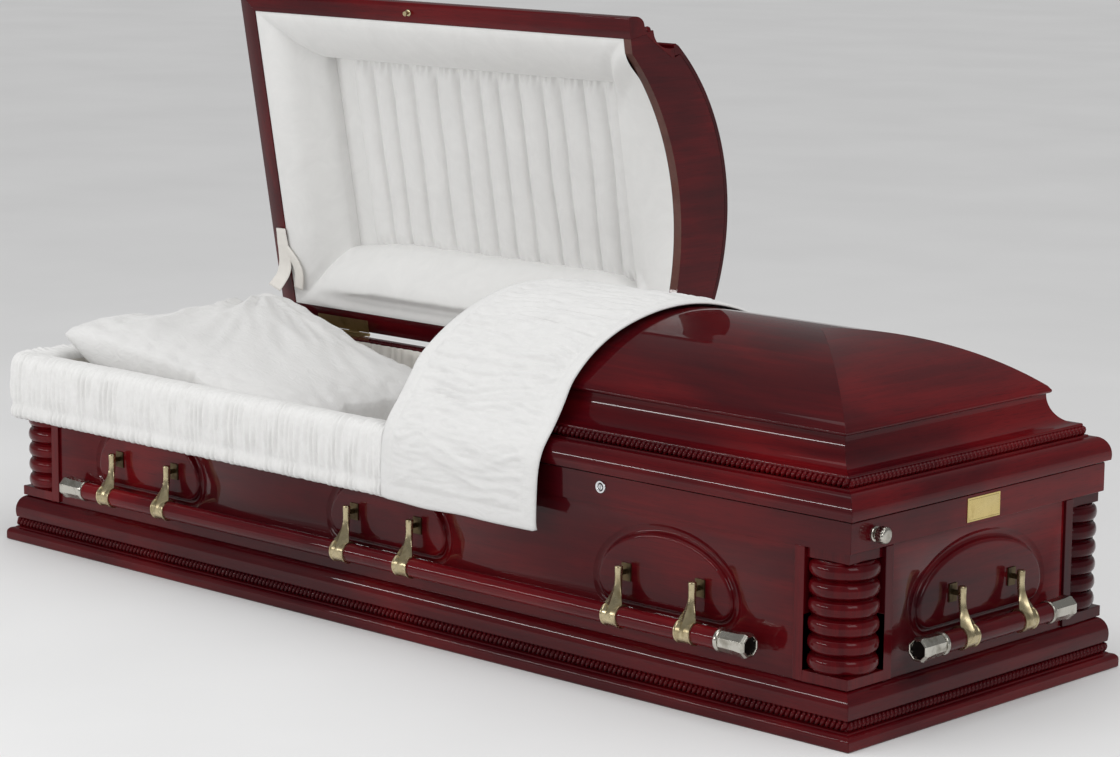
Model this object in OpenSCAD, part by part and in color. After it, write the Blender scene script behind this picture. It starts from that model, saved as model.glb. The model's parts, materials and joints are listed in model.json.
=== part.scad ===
// Half-couch wooden funeral casket: moulded base, panelled sides with ring-turned corner columns,
// two hinged lids with a hipped barrel crown, swing-bar handles and a cloth interior.
// Millimetres. X runs from the head end (-) to the foot end (+), Y from front (-) to hinge side (+).
// "Inset" is always measured inwards from the outer edge of the base, on all four sides.

/* [Overall] */
// Length over the base
length = 2120; // [1760:10:2600]
// Width over the base
width = 740; // [610:10:900]
// Height of the panels between base and rail
panel_h = 217; // [180:1:270]
// How far the head lid stands open, in degrees
lid_open = 80; // [10:1:85]

/* [Base] */
// Height of the base moulding
base_h = 90; // [80:1:110]
// Height of the plain lip that stands on the floor
foot_lip_h = 24; // [18:1:26]
// Radius of the rope moulding on the base
base_rope_r = 9; // [6:0.5:9]
// Thickness of the bottom board
bottom_t = 18; // [12:1:30]

/* [Sides] */
// Inset of the panel faces
panel_inset = 30; // [28:1:34]
// Thickness of the side and end panels
panel_t = 19; // [12:1:24]
// How far the carved arches stand out of the panels
arch_proud = 6; // [3:0.5:8]
// Half width of a carved arch on the long sides
side_arch_half = 146; // [110:1:180]
// Half width of a carved arch on the ends
end_arch_half = 168; // [120:1:190]
// Height of a carved arch
arch_h = 126; // [90:1:150]
// Height of the foot of a carved arch above the base moulding
arch_foot = 62; // [30:1:70]
// Height of the top rail
rail_h = 50; // [40:1:70]
// Inset of the top rail
rail_inset = 25.5; // [22:0.5:27]
// Width of the top rail
rail_w = 36.5; // [32:0.5:45]

/* [Corners] */
// Inset of the block under each column
block_inset = 25; // [22:1:28]
// Height of the block under each column
block_h = 18; // [12:1:30]
// Inset of the cap over each column
cap_inset = 32; // [28:1:40]
// Height of the cap over each column
cap_h = 18; // [12:1:30]
// Width of the corner niche along each side, from the block's face
niche_w = 91; // [84:1:108]
// Thickness of the boards behind the niche
niche_t = 14; // [9:1:20]
// Width of the stile between each niche and panel
stile_w = 20; // [14:1:30]
// Inset of the columns' axes
column_inset = 74; // [70:1:84]
// Largest radius of the turned column
ring_r = 57; // [44:1:58]
// Depth of the grooves between its rings
ring_groove = 8.5; // [4:0.5:12]
// Number of rings on a column
rings = 6; // [4:1:8]

/* [Lids] */
// Place of the cut between the two lids along the length
lid_cut = 37; // [-60:1:120]
// Clearance between the two lids
cut_gap = 2; // [1:0.5:4]
// Gap between rail and lid, which the hinge leaves fill
lid_gap = 3; // [3:0.1:5]
// Inset of the lid's outer edge
rim_inset = 17.3; // [15:0.1:20]
// Width of the lid's rim
rim_w = 40; // [34:1:44]
// Height of the rounded rim moulding
rim_h = 42; // [36:1:50]
// Radius of the rope moulding on the lids
lid_rope_r = 8.5; // [6:0.5:9]
// Height of the hollow moulding over the rope
cove_h = 53; // [40:1:70]
// Inset of the crown's lip
crown_inset = 92; // [88:1:98]
// Height of the crown's lip
lip_h = 8; // [5:1:12]
// Rise of the crown above its lip
crown_rise = 102; // [80:1:130]
// Thickness of the bent crown board
crown_t = 9; // [6:1:14]
// Thickness of the header board at the cut end of each lid
header_t = 19; // [12:1:25]
// Rise of the arch in the header board
header_arch = 88; // [60:1:95]

/* [Hinges] */
// Radius of a hinge knuckle
knuckle_r = 3.5; // [3.2:0.1:4.5]
// Radius of the hinge pin
hinge_pin_r = 1.6; // [1.2:0.1:2]
// Running clearance round the hinge pins, on the radius
pin_clear = 0.08; // [0.03:0.01:0.1]
// Thickness of a hinge leaf
leaf_t = 1.3; // [1:0.1:1.3]
// Length of one hinge
hinge_l = 150; // [100:10:240]

/* [Handles] */
// Diameter of the wooden bars
bar_d = 34; // [26:1:36]
// Height of the bars' axis
bar_z = 136; // [130:1:150]
// How far the bars' axis stands outside the base
bar_out = 4; // [2:1:12]
// Height of the pivots from which the bars hang
pivot_z = 205; // [195:1:215]
// Inset of the pivots
pivot_inset = 4; // [0:1:8]
// Distance of the outer pairs of arms from the tips of a long bar
pair_end = 147; // [110:1:240]
// Half the distance between the two arms of a pair
arm_half = 80; // [60:1:95]
// Half length of the wood of a long bar, as far as its metal tips
side_bar_half = 799; // [620:1:850]
// Half length of the wood of an end bar, as far as its metal tips
end_bar_half = 143; // [120:1:160]
// Length of a tip
tip_l = 64; // [40:1:70]
// Width of a tip over its corners
tip_d = 42; // [38:1:46]
// Radius of the pivot pin in each arm
arm_pin_r = 2.5; // [2:0.1:3]

/* [Locks and plate] */
// Distance of the keyhole from the middle, along the front rail
keyhole_x = 511; // [300:1:700]
// Distance of the lock knob from the middle of the foot rail
knob_y = 283; // [180:1:300]
// How far the lock knob stands out
knob_out = 25; // [15:1:30]
// Diameter of the lock knob
knob_d = 28; // [20:1:34]
// Width of the name plate
plate_w = 88; // [60:1:120]
// Height of the name plate
plate_h = 40; // [25:1:40]
// Distance of the head lid's catch from the middle
catch_x = 547; // [300:1:700]
// Radius of the catch pin
catch_r = 5; // [3:0.5:6]

/* [Interior] */
// Height of the mattress top above the floor
mattress_top = 200; // [150:5:220]
// Thickness of the cloth-covered wall lining
lining_t = 12; // [6:1:16]
// Clearance between cloth and wood
cloth_gap = 0.3; // [0.2:0.1:0.6]
// Width of the puffed frame inside the head lid
puff_w = 135; // [90:1:160]
// Depth of the tufted panel inside the head lid
puff_depth = 109; // [80:1:112]
// How far the puffed skirt stands outside the rail
skirt_out = 28; // [12:1:30]
// Height of the skirt's hem above the floor
skirt_hem = 246; // [242:1:280]
// Width of the throw over the foot lid
throw_w = 352; // [200:1:500]
// How far the throw reaches past the lid's cut end
throw_reach = 20; // [10:1:60]

/* [Hidden] */
SIDES = ["front", "rear", "head", "foot"];
$fn = 64;

half_l = length / 2;
half_w = width / 2;
rail_z = base_h + panel_h;
rail_top = rail_z + rail_h;
lid_z = rail_top + lid_gap;
wall_inner = panel_inset + panel_t;
rail_inner = rail_inset + rail_w;
niche_end = block_inset + niche_w;
stile_end = niche_end + stile_w;
post_inner = niche_end + niche_t;
column_z0 = base_h + block_h;
column_z1 = rail_z - cap_h;
pair_pitch = side_bar_half - pair_end;
pair_places = [-pair_pitch, 0, pair_pitch];
arch_z = base_h + arch_foot;
arch_corner = 34;

// Base moulding: rope centred over the lip, quarter-round above it
base_rope_z = foot_lip_h + 3 + base_rope_r;
base_round_w = 18;
base_round_z = base_rope_z + base_rope_r + 12;

// Lids: heights above the lid's underside
rim_inner = rim_inset + rim_w;
rim_nose = 9;
rope_inset = rim_inset + 26 + lid_rope_r;
rope_up = rim_h + 1.5 + lid_rope_r;
cove_foot = rope_up + lid_rope_r + 1.5;
cove_inset = rope_inset + 6.5;
cove_top = cove_foot + cove_h;
crown_foot = cove_top;
crown_half = half_w - crown_inset;
crown_r = (crown_half * crown_half + crown_rise * crown_rise) / (2 * crown_rise);
crown_top = crown_foot + lip_h + crown_rise;
crown_centre = crown_top - crown_r;
crown_ledge = 22;
header_gap = 0.2;
header_half = half_w - rim_inner - 28;
header_r = (header_half * header_half + header_arch * header_arch) / (2 * header_arch);
foot_lid_x = lid_cut + cut_gap / 2;
head_lid_x = lid_cut - cut_gap / 2;

// Hinges
hinge_y = half_w - rim_inset + knuckle_r + 0.5;
hinge_z = rail_top + lid_gap / 2;
leaf_w = 30;
knuckles = 5;
knuckle_gap = 0.4;
head_hinges = [-(half_l - 200), lid_cut - 200];
foot_hinges = [lid_cut + 200, half_l - 200];

// Handles
arm_w = 34;
band_t = 3.5;
band_gap = 0.2;
post_r = 7;
post_top = pivot_z + 12.5;
tongue_t = 4.4;
slot_t = 5.2;
lug_plate_t = 2.5;

// Interior
lining_lift = 30;
pillow_l = 624;
pillow_h = 238;
pillow_soft = 110;
pillow_half = half_w - 104;
fold_t = 5;
puff_rim = 3;
puff_end_x = head_lid_x - header_t - cloth_gap;
catch_depth = 14;
catch_seat = catch_r + 3;

function arc(cx, cy, rx, ry, a0, a1, n) =
    [for (i = [0:n]) let (a = a0 + (a1 - a0) * i / n) [cx + rx * cos(a), cy + ry * sin(a)]];

function mirrored(points) = [for (i = [len(points) - 1:-1:0]) [-points[i][0], points[i][1]]];

// Outline of the base moulding as [inset, height]
function base_outline() = concat(
    [[0, 0]],
    arc(8, foot_lip_h - 8, 8, 8, 180, 90, 5),
    [[13, foot_lip_h], [13, base_rope_z - base_rope_r + 1]],
    arc(8 + base_rope_r, base_rope_z, base_rope_r, base_rope_r, 240, 120, 8),
    arc(panel_inset + 1, base_round_z, base_round_w, base_h - 2 - base_round_z, 200, 90, 10),
    [[panel_inset + 1, base_h], [wall_inner, base_h], [wall_inner, 0]]);

// Outline of the lid moulding as [inset, height over the lid's underside]
function lid_outline() = concat(
    [[rim_inset + 2.5, 0]],
    arc(rim_inset + 22, rim_nose, 22, 32 * rim_h / 42, 195, 90, 10),
    [[rope_inset - lid_rope_r / 2, rim_h]],
    arc(rope_inset, rope_up, lid_rope_r, lid_rope_r, 240, 120, 8),
    [[cove_inset, cove_foot]],
    [for (i = [1:8]) let (a = 90 * i / 8)
        [cove_inset + (crown_inset + 7 - cove_inset) * sin(a), cove_top - cove_h * cos(a)]],
    [[crown_inset + crown_ledge + 4, cove_top],
     [crown_inset + crown_ledge + 4, cove_top - 6],
     [rim_inner + 20, cove_foot], [rim_inner, rim_h], [rim_inner, 0]]);

// Inner face of the lid moulding as [distance from the middle, height], drawn in by a gap
function shell_inside(gap) = [[half_w - rim_inner - gap, 0], [half_w - rim_inner - gap, rim_h],
    [half_w - rim_inner - 20 - gap, cove_foot],
    [crown_half - crown_ledge - 4 - gap, cove_top - 6], [crown_half - crown_ledge - 4 - gap, cove_top]];

// Half outline of the crown's section, from the lip to the top, as [distance from the middle, height]
function crown_points(half, radius, foot, limit) =
    let (edge = min(limit, half), a1 = acos(edge / radius))
    concat([[edge, foot]], [for (i = [0:14]) let (a = a1 + (90 - a1) * i / 14)
        [radius * cos(a), crown_centre + radius * sin(a)]]);

// Flat outline of a carved arch standing on the X axis
function arch_outline(half) = concat(
    arc(half - arch_corner, arch_corner, arch_corner, arch_corner, -90, 0, 6),
    [for (i = [1:17]) [half * cos(10 * i), arch_corner + (arch_h - arch_corner) * sin(10 * i)]],
    arc(arch_corner - half, arch_corner, arch_corner, arch_corner, 180, 270, 6));

// Extrudes a flat shape, drawn as [y, z], along X
module along_x(x0, x1) {
    translate([x0, 0, 0]) rotate([90, 0, 90]) linear_extrude(x1 - x0) children();
}

// Extrudes a flat shape, drawn as [x, z], along Y
module along_y(y0, y1) {
    translate([0, y1, 0]) rotate([90, 0, 0]) linear_extrude(y1 - y0) children();
}

// A mitred length of moulding on one side; outline is given as [inset, height]
module mitred(side, outline) {
    if (side == "front") intersection() {
        along_x(-half_l, half_l) polygon([for (p = outline) [p[0] - half_w, p[1]]]);
        linear_extrude(1000) polygon([[-half_l, -half_w], [half_l, -half_w],
            [half_l - half_w, 0], [half_w - half_l, 0]]);
    }
    if (side == "rear") mirror([0, 1, 0]) mitred("front", outline);
    if (side == "foot") intersection() {
        along_y(-half_w, half_w) polygon([for (p = outline) [half_l - p[0], p[1]]]);
        linear_extrude(1000) polygon([[half_l, -half_w], [half_l, half_w], [half_l - half_w, 0]]);
    }
    if (side == "head") mirror([1, 0, 0]) mitred("foot", outline);
}

// Puts a piece drawn for the front, with its base edge on the X axis, on any side
module on_side(side) {
    turn = side == "front" ? 0 : side == "foot" ? 90 : side == "rear" ? 180 : 270;
    reach = side == "front" || side == "rear" ? half_w : half_l;
    rotate([0, 0, turn]) translate([0, -reach, 0]) children();
}

// Puts a piece drawn for the front foot corner in any corner
module in_corner(corner) {
    flip_x = corner == "front_head" || corner == "rear_head" ? 1 : 0;
    flip_y = corner == "rear_head" || corner == "rear_foot" ? 1 : 0;
    mirror([flip_x, 0, 0]) mirror([0, flip_y, 0]) translate([half_l, -half_w, 0]) children();
}

// Turns a piece of the head lid from its closed place to where it stands open
module opened() {
    translate([0, hinge_y, hinge_z]) rotate([-lid_open, 0, 0]) translate([0, -hinge_y, -hinge_z]) children();
}

module bottom_board() {
    color("#4a1512") translate([wall_inner - half_l, wall_inner - half_w, 0])
        cube([length - 2 * wall_inner, width - 2 * wall_inner, bottom_t]);
}

module base_moulding(side) {
    color("#5a1416") mitred(side, base_outline());
}

module panel(side) {
    long = side == "front" || side == "rear";
    half = (long ? half_l : half_w) - stile_end;
    places = long ? pair_places : [0];
    color("#571518") on_side(side) {
        translate([-half, panel_inset, base_h]) cube([2 * half, panel_t, panel_h]);
        for (x = places) translate([x, panel_inset + 1, arch_z]) rotate([90, 0, 0])
            linear_extrude(arch_proud + 1)
                polygon(arch_outline(long ? side_arch_half : end_arch_half));
    }
}

module top_rail(side) {
    outline = [[rail_inset, rail_z], [rail_inset, rail_top], [rail_inner, rail_top], [rail_inner, rail_z]];
    color("#4d1216") difference() {
        mitred(side, outline);
        if (side == "front") translate([-catch_x, -half_w + rim_inset + rim_w / 2, rail_top - catch_depth])
            cylinder(h = catch_depth + 1, r = catch_seat);
    }
}

// Two boards behind the niche, each with a stile on its outer edge, and the block and cap of the column
module corner_post(corner) {
    color("#3d0f13") in_corner(corner) {
        translate([0, 0, base_h]) linear_extrude(panel_h) polygon([
            [-niche_end, niche_end], [-niche_end, block_inset], [-stile_end, block_inset],
            [-stile_end, wall_inner], [-post_inner, wall_inner], [-post_inner, post_inner],
            [-wall_inner, post_inner], [-wall_inner, stile_end], [-block_inset, stile_end],
            [-block_inset, niche_end]]);
        translate([-niche_end, block_inset, base_h]) cube([niche_w, niche_w, block_h]);
        translate([-niche_end, cap_inset, column_z1])
            cube([niche_end - cap_inset, niche_end - cap_inset, cap_h]);
    }
}

module corner_column(corner) {
    pitch = (column_z1 - column_z0) / rings;
    profile = [for (k = [0:rings - 1], i = [0:7]) let (a = 45 * i)
        [ring_r - ring_groove * (0.5 + 0.5 * cos(a)), column_z0 + pitch * (k + i / 8)]];
    color("#45100f") in_corner(corner) intersection() {
        translate([-column_inset, column_inset, 0]) rotate_extrude() polygon(concat(
            [[0, column_z0]], profile, [[ring_r - ring_groove, column_z1], [0, column_z1]]));
        translate([-niche_end, 0, 0]) cube([niche_end, niche_end, 1000]);
    }
}

module name_plate() {
    color("#c9a94e") on_side("foot")
        translate([-plate_w / 2, rail_inset - 1.2, rail_z + (rail_h - plate_h) / 2])
            cube([plate_w, 1.2, plate_h]);
}

module lock_knob() {
    color("#b59a62") on_side("foot")
        translate([-knob_y, rail_inset, rail_z + rail_h / 2]) rotate([90, 0, 0]) {
            cylinder(h = 4, d = knob_d - 8);
            cylinder(h = knob_out, d = knob_d - 10);
            translate([0, 0, knob_out - 17]) cylinder(h = 17, d = knob_d);
        }
}

module keyhole() {
    color("#c8c8cc") on_side("front")
        translate([keyhole_x, rail_inset, rail_z + rail_h * 0.6]) rotate([90, 0, 0]) difference() {
            cylinder(h = 3, d = 22);
            translate([0, 0, 1]) cylinder(h = 3, d = 12);
        }
}

module mattress() {
    inset = rail_inner + lining_t + 6;
    color("#f2f0ee") translate([0, 0, bottom_t + cloth_gap]) linear_extrude(mattress_top - bottom_t) union() {
        square([2 * (half_l - post_inner - 4), 2 * (half_w - inset)], center = true);
        square([2 * (half_l - inset), 2 * (half_w - post_inner - 4)], center = true);
    }
}

// The pillow stands between the corner posts and spreads over them above the rail's foot
module pillow() {
    foot = mattress_top + 2 * cloth_gap;
    belly = rail_z + 1.5;
    foot_x0 = post_inner + 4 - half_l;
    x0 = rail_inner + lining_t + 2 - half_l;
    x1 = x0 + pillow_l;
    tuck = 16;
    color("#fbfaf8") union() {
        hull() {
            translate([foot_x0 + tuck, tuck - pillow_half, foot])
                cube([x1 - foot_x0 - 4 * tuck, 2 * (pillow_half - tuck), 1]);
            translate([foot_x0, -pillow_half, belly - 40]) cube([x1 - foot_x0, 2 * pillow_half, 40]);
        }
        hull() {
            translate([x0, -pillow_half, belly]) cube([pillow_l, 2 * pillow_half, 22]);
            translate([x0 + pillow_soft, pillow_soft - pillow_half, foot + pillow_h])
                cube([pillow_l / 2, 2 * (pillow_half - pillow_soft), 1]);
        }
    }
}

module lining(side) {
    long = side == "front" || side == "rear";
    half = (long ? half_l : half_w) - post_inner - cloth_gap;
    color("#efe8df") on_side(side)
        translate([-half, rail_inner + cloth_gap, bottom_t + lining_lift])
            cube([2 * half, lining_t, rail_top - bottom_t - lining_lift - 2]);
}

// Section of the puffed skirt as [inset, height]: it hangs clear of rail, arches and columns, and laps
// over the rail's top
function skirt_outline() = let (
    out = min(rail_inset, panel_inset - arch_proud, column_inset - ring_r) - cloth_gap,
    top = rail_top + cloth_gap) [
    [out, skirt_hem + 6], [out, top], [rail_inner - 4, top], [rail_inner - 6, top + 9],
    [rail_inset - 8, top + 15], [rail_inset - skirt_out + 6, top + 8], [rail_inset - skirt_out, top - 8],
    [rail_inset - skirt_out, skirt_hem + 10], [rail_inset - skirt_out + 10, skirt_hem]];

module skirt_front() {
    color("#fbfaf8") intersection() {
        mitred_skirt("front");
        translate([-length, -width, 0]) cube([length + foot_lid_x - 20, 2 * width, 1000]);
    }
}

module skirt_head() {
    color("#fbfaf8") mitred_skirt("head");
}

// The skirt stands outside the base at the ends, so its mitre starts from a larger outline
module mitred_skirt(side) {
    reach = skirt_out;
    if (side == "front") intersection() {
        along_x(-half_l - reach, half_l) polygon([for (p = skirt_outline()) [p[0] - half_w, p[1]]]);
        linear_extrude(1000) polygon([[-half_l - reach, -half_w - reach], [half_l, -half_w - reach],
            [half_l, 0], [half_w - half_l, 0]]);
    }
    if (side == "head") intersection() {
        along_y(-half_w - reach, half_w - rail_inner) polygon([for (p = skirt_outline()) [p[0] - half_l, p[1]]]);
        linear_extrude(1000) polygon([[-half_l - reach, -half_w - reach], [half_w - half_l, 0],
            [half_w - half_l, half_w], [-half_l - reach, half_w]]);
    }
}

// Section of the throw as [y, z]: down the front, over the crown, and to the hinge side
function throw_half(gap) = let (base = lid_z) concat(
    [[half_w - rim_inset + 4 + gap, base + 12], [half_w - rim_inset - 3 + gap, base + 28],
     [half_w - rope_inset + lid_rope_r + gap, base + rope_up + 8],
     [crown_half + 1 + gap, base + crown_foot + lip_h]],
    [for (i = [1:9]) let (a1 = acos(crown_half / crown_r), a = a1 + (90 - a1) * i / 9)
        [(crown_r + gap) * cos(a), base + crown_centre + (crown_r + gap) * sin(a)]]);

module throw() {
    fall = [[-half_w - 4, skirt_hem], [-half_w - 4, rail_top + 4], [-half_w - 1, rail_top + 9]];
    fall_in = [[-half_w + 4, rail_top - 2], [-half_w + 1, rail_top - 8], [-half_w + 1, skirt_hem]];
    outer = concat(fall, [for (p = throw_half(1 + fold_t)) [-p[0], p[1]]]);
    inner = throw_half(1);
    crown_edge = 4;
    rear_out = [for (i = [len(inner) - 2:-1:1]) throw_half(1 + fold_t)[i]];
    rear_in = [for (i = [1:len(inner) - 2]) inner[i]];
    front_in = [for (i = [len(inner) - 1:-1:0]) [-inner[i][0], inner[i][1]]];
    section = concat(outer, rear_out, rear_in, front_in, fall_in);
    color("#fbfaf8") {
        along_x(foot_lid_x, foot_lid_x + throw_w) polygon(section);
        along_x(foot_lid_x - throw_reach, foot_lid_x) polygon(concat(
            [for (p = throw_half(1 + fold_t)) [-p[0], p[1]]],
            [for (i = [len(inner) - 2:-1:crown_edge]) throw_half(1 + fold_t)[i]],
            [for (i = [crown_edge:len(inner) - 2]) inner[i]], front_in));
    }
}

// Mouldings of one lid, closed: the frame on three sides, cut off at the lid's end
module lid_moulding(x0, x1, end) {
    for (side = ["front", "rear", end]) intersection() {
        translate([0, 0, lid_z]) mitred(side, lid_outline());
        translate([x0, -width, 0]) cube([x1 - x0, 2 * width, 1000]);
    }
}

// The hipped barrel: two crossed prisms with the same section, so the hips run at 45 degrees
module vault(half, radius, limit) {
    section = crown_points(half, radius, crown_foot, limit);
    ends = [for (p = section) [p[0] + half_l - half_w, p[1]]];
    intersection() {
        along_x(-length, length) polygon(concat(section, mirrored(section)));
        along_y(-width, width) polygon(concat(ends, mirrored(ends)));
    }
}

module lid_crown(x0, x1) {
    translate([0, 0, lid_z]) intersection() {
        difference() {
            vault(crown_half, crown_r, crown_half);
            translate([0, 0, -0.01]) vault(crown_half, crown_r - crown_t, crown_half - crown_ledge);
        }
        translate([x0, -width, 0]) cube([x1 - x0, 2 * width, 1000]);
    }
}

// Header board: fills the end of the lid inside its shell, over a low arch
module lid_header(x0, x1) {
    shell = concat(shell_inside(0),
        crown_points(crown_half, crown_r - crown_t - header_gap, crown_foot,
            crown_half - crown_ledge - header_gap));
    translate([0, 0, lid_z]) difference() {
        along_x(x0, x1) polygon(concat(shell, mirrored(shell)));
        along_x(x0 - 1, x1 + 1) intersection() {
            translate([0, header_arch - header_r]) circle(header_r, $fn = 96);
            translate([-half_w, -1]) square([width, header_arch + 2]);
        }
    }
}

module foot_lid_moulding() {
    color("#65171a") lid_moulding(foot_lid_x, length, "foot");
}

module foot_lid_crown() {
    color("#6b191b") lid_crown(foot_lid_x, length);
}

module foot_lid_header() {
    color("#571517") lid_header(foot_lid_x, foot_lid_x + header_t);
}

module head_lid_moulding() {
    color("#65171a") opened() lid_moulding(-length, head_lid_x, "head");
}

module head_lid_crown() {
    color("#6b191b") opened() lid_crown(-length, head_lid_x);
}

module head_lid_header() {
    color("#571517") opened() lid_header(head_lid_x - header_t, head_lid_x);
}

// The puffed frame lines the shell on three sides and slopes in to the tufted panel
module head_lid_puff_frame() {
    section = shell_inside(2 * cloth_gap);
    outline = concat([[half_w - section[0][0], puff_rim]],
        [for (i = [1:3]) [half_w - section[i][0], section[i][1]]],
        [[rim_inner + puff_w, puff_depth + puff_rim], [rim_inner + puff_w, puff_depth]]);
    color("#fbfaf8") opened() translate([0, 0, lid_z]) difference() {
        intersection() {
            union() for (side = ["front", "rear", "head"]) mitred(side, outline);
            along_x(-length, puff_end_x) polygon(concat(section, mirrored(section)));
        }
        puff_mitre(0);
    }
}

// The puffed frame's fourth side, mitred to the others, follows the header's arch
module head_lid_puff_end() {
    section = shell_inside(2 * cloth_gap);
    color("#fbfaf8") opened() translate([0, 0, lid_z]) difference() {
        intersection() {
            along_y(-half_w, half_w) polygon([
                [puff_end_x, puff_rim], [puff_end_x, section[3][1]],
                [puff_end_x - puff_w, puff_depth + puff_rim], [puff_end_x - puff_w, puff_depth]]);
            along_x(-length, puff_end_x) polygon(concat(section, mirrored(section)));
            puff_mitre(cloth_gap);
        }
        along_x(puff_end_x - puff_w - 1, length) translate([0, header_arch - header_r])
            circle(header_r, $fn = 96);
    }
}

// Plan of the fourth side, drawn in by a gap along its mitres
module puff_mitre(gap) {
    half = half_w - rim_inner - 2 * cloth_gap - gap;
    translate([0, 0, -1]) linear_extrude(200) polygon([
        [puff_end_x + 1, half + 1], [puff_end_x - puff_w, half - puff_w],
        [puff_end_x - puff_w, puff_w - half], [puff_end_x + 1, -half - 1]]);
}

module head_lid_tufted_panel() {
    g = cloth_gap;
    x0 = -half_l + rim_inner + puff_w - 12;
    x1 = head_lid_x - header_t - puff_w + 12;
    y = half_w - rim_inner - puff_w + 12;
    color("#f7f5f2") opened() translate([x0, -y, lid_z + puff_depth + 3 + g])
        cube([x1 - x0, 2 * y, 10]);
}

module head_lid_catch() {
    color("#b9a25c") opened() translate([-catch_x, -half_w + rim_inset + rim_w / 2, lid_z]) rotate([180, 0, 0]) {
        cylinder(h = 1.5, r = catch_r + 2);
        cylinder(h = lid_gap + catch_depth - 5, r = catch_r);
    }
}

// Cloth sleeve over the lid's stay, from the open lid's rim down into the body
module stay_sleeve() {
    x0 = -half_l + rim_inset + 12;
    color("#fbfaf8") opened() translate([x0, hinge_y - 190, lid_z - 8 - cloth_gap]) cube([36, 110, 8]);
}

// One butt hinge along X at the hinge line; parity picks which knuckles it has
module hinge_leaf(x, lid_side) {
    piece = hinge_l / knuckles;
    bore = hinge_pin_r + pin_clear;
    z0 = lid_side ? hinge_z + lid_gap / 2 - leaf_t : hinge_z - lid_gap / 2;
    translate([x - hinge_l / 2, 0, 0]) {
        difference() {
            union() {
                for (k = [0:knuckles - 1]) if (k % 2 == (lid_side ? 1 : 0)) {
                    translate([k * piece + knuckle_gap / 2, hinge_y, hinge_z]) rotate([0, 90, 0])
                        cylinder(h = piece - knuckle_gap, r = knuckle_r);
                    translate([k * piece + knuckle_gap / 2, hinge_y - leaf_w, z0])
                        cube([piece - knuckle_gap, leaf_w - knuckle_r + 1.2, leaf_t]);
                }
                translate([knuckle_gap / 2, hinge_y - leaf_w, z0])
                    cube([hinge_l - knuckle_gap, leaf_w - knuckle_r - 1, leaf_t]);
            }
            if (lid_side) translate([-1, hinge_y, hinge_z]) rotate([0, 90, 0])
                cylinder(h = hinge_l + 2, r = bore);
        }
        if (!lid_side) translate([0, hinge_y, hinge_z]) rotate([0, 90, 0])
            cylinder(h = hinge_l, r = hinge_pin_r);
    }
}

module hinge_body_leaves() {
    color("#b08d57") for (x = concat(head_hinges, foot_hinges)) hinge_leaf(x, false);
}

module hinge_head_lid_leaves() {
    color("#b08d57") opened() for (x = head_hinges) hinge_leaf(x, true);
}

module hinge_foot_lid_leaves() {
    color("#b08d57") for (x = foot_hinges) hinge_leaf(x, true);
}

// Places along a handle at which it has an arm
function arm_places(side) = side == "front" || side == "rear"
    ? [for (x = pair_places, s = [-1, 1]) x + s * arm_half] : [-arm_half, arm_half];

// The fixed lug of an arm: a plate on the panel, a tongue and the pivot pin through it
module lug() {
    face = panel_inset - arch_proud;
    translate([-10, face - lug_plate_t, pivot_z - 16]) cube([20, lug_plate_t, 30]);
    translate([-tongue_t / 2, pivot_inset, pivot_z - 4]) cube([tongue_t, face - pivot_inset - 1, 8]);
    translate([-tongue_t / 2, pivot_inset, pivot_z]) rotate([0, 90, 0]) cylinder(h = tongue_t, r = 4);
    translate([-post_r + 1.5, pivot_inset, pivot_z]) rotate([0, 90, 0])
        cylinder(h = 2 * post_r - 3, r = arm_pin_r);
}

module handle_lugs() {
    color("#8f7a4a") for (side = SIDES) on_side(side)
        for (x = arm_places(side)) translate([x, 0, 0]) lug();
}

// An arm: a round post that spreads into a band round the bar, slotted behind for the lug's tongue
module arm() {
    band_r = bar_d / 2 + band_t;
    flare_z = pivot_z - 17;
    difference() {
        union() {
            translate([0, pivot_inset, flare_z]) cylinder(h = post_top - flare_z, r = post_r);
            translate([0, pivot_inset + 5, 0]) rotate([90, 0, 0]) linear_extrude(12) polygon(concat(
                [[post_r - 0.5, flare_z + 8]],
                [for (i = [0:6]) let (s = i / 6)
                    [post_r - 0.5 + (arm_w / 2 + 3 - post_r) * s * s * (3 - 2 * s),
                        flare_z - (flare_z - bar_z - band_r + 6) * s]],
                [for (i = [6:-1:0]) let (s = i / 6)
                    [-post_r + 0.5 - (arm_w / 2 + 3 - post_r) * s * s * (3 - 2 * s),
                        flare_z - (flare_z - bar_z - band_r + 6) * s]],
                [[-post_r + 0.5, flare_z + 8]]));
            translate([-arm_w / 2, -bar_out, bar_z]) rotate([0, 90, 0]) cylinder(h = arm_w, r = band_r);
        }
        translate([-arm_w, -bar_out, bar_z]) rotate([0, 90, 0])
            cylinder(h = 2 * arm_w, r = bar_d / 2 + band_gap);
        translate([-slot_t / 2, pivot_inset - 4.5, pivot_z - 4.8]) cube([slot_t, 40, 40]);
        translate([-slot_t / 2, pivot_inset, pivot_z]) rotate([0, 90, 0]) cylinder(h = slot_t, r = 4.8);
        translate([-arm_w, pivot_inset, pivot_z]) rotate([0, 90, 0])
            cylinder(h = 2 * arm_w, r = arm_pin_r + pin_clear);
    }
}

module handle_arms(side) {
    color("#a08a55") on_side(side) for (x = arm_places(side)) translate([x, 0, 0]) arm();
}

module handle_bar(side) {
    half = side == "front" || side == "rear" ? side_bar_half : end_bar_half;
    color("#6b1519") on_side(side) translate([-half, -bar_out, bar_z]) rotate([0, 90, 0])
        cylinder(h = 2 * half, d = bar_d);
}

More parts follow.
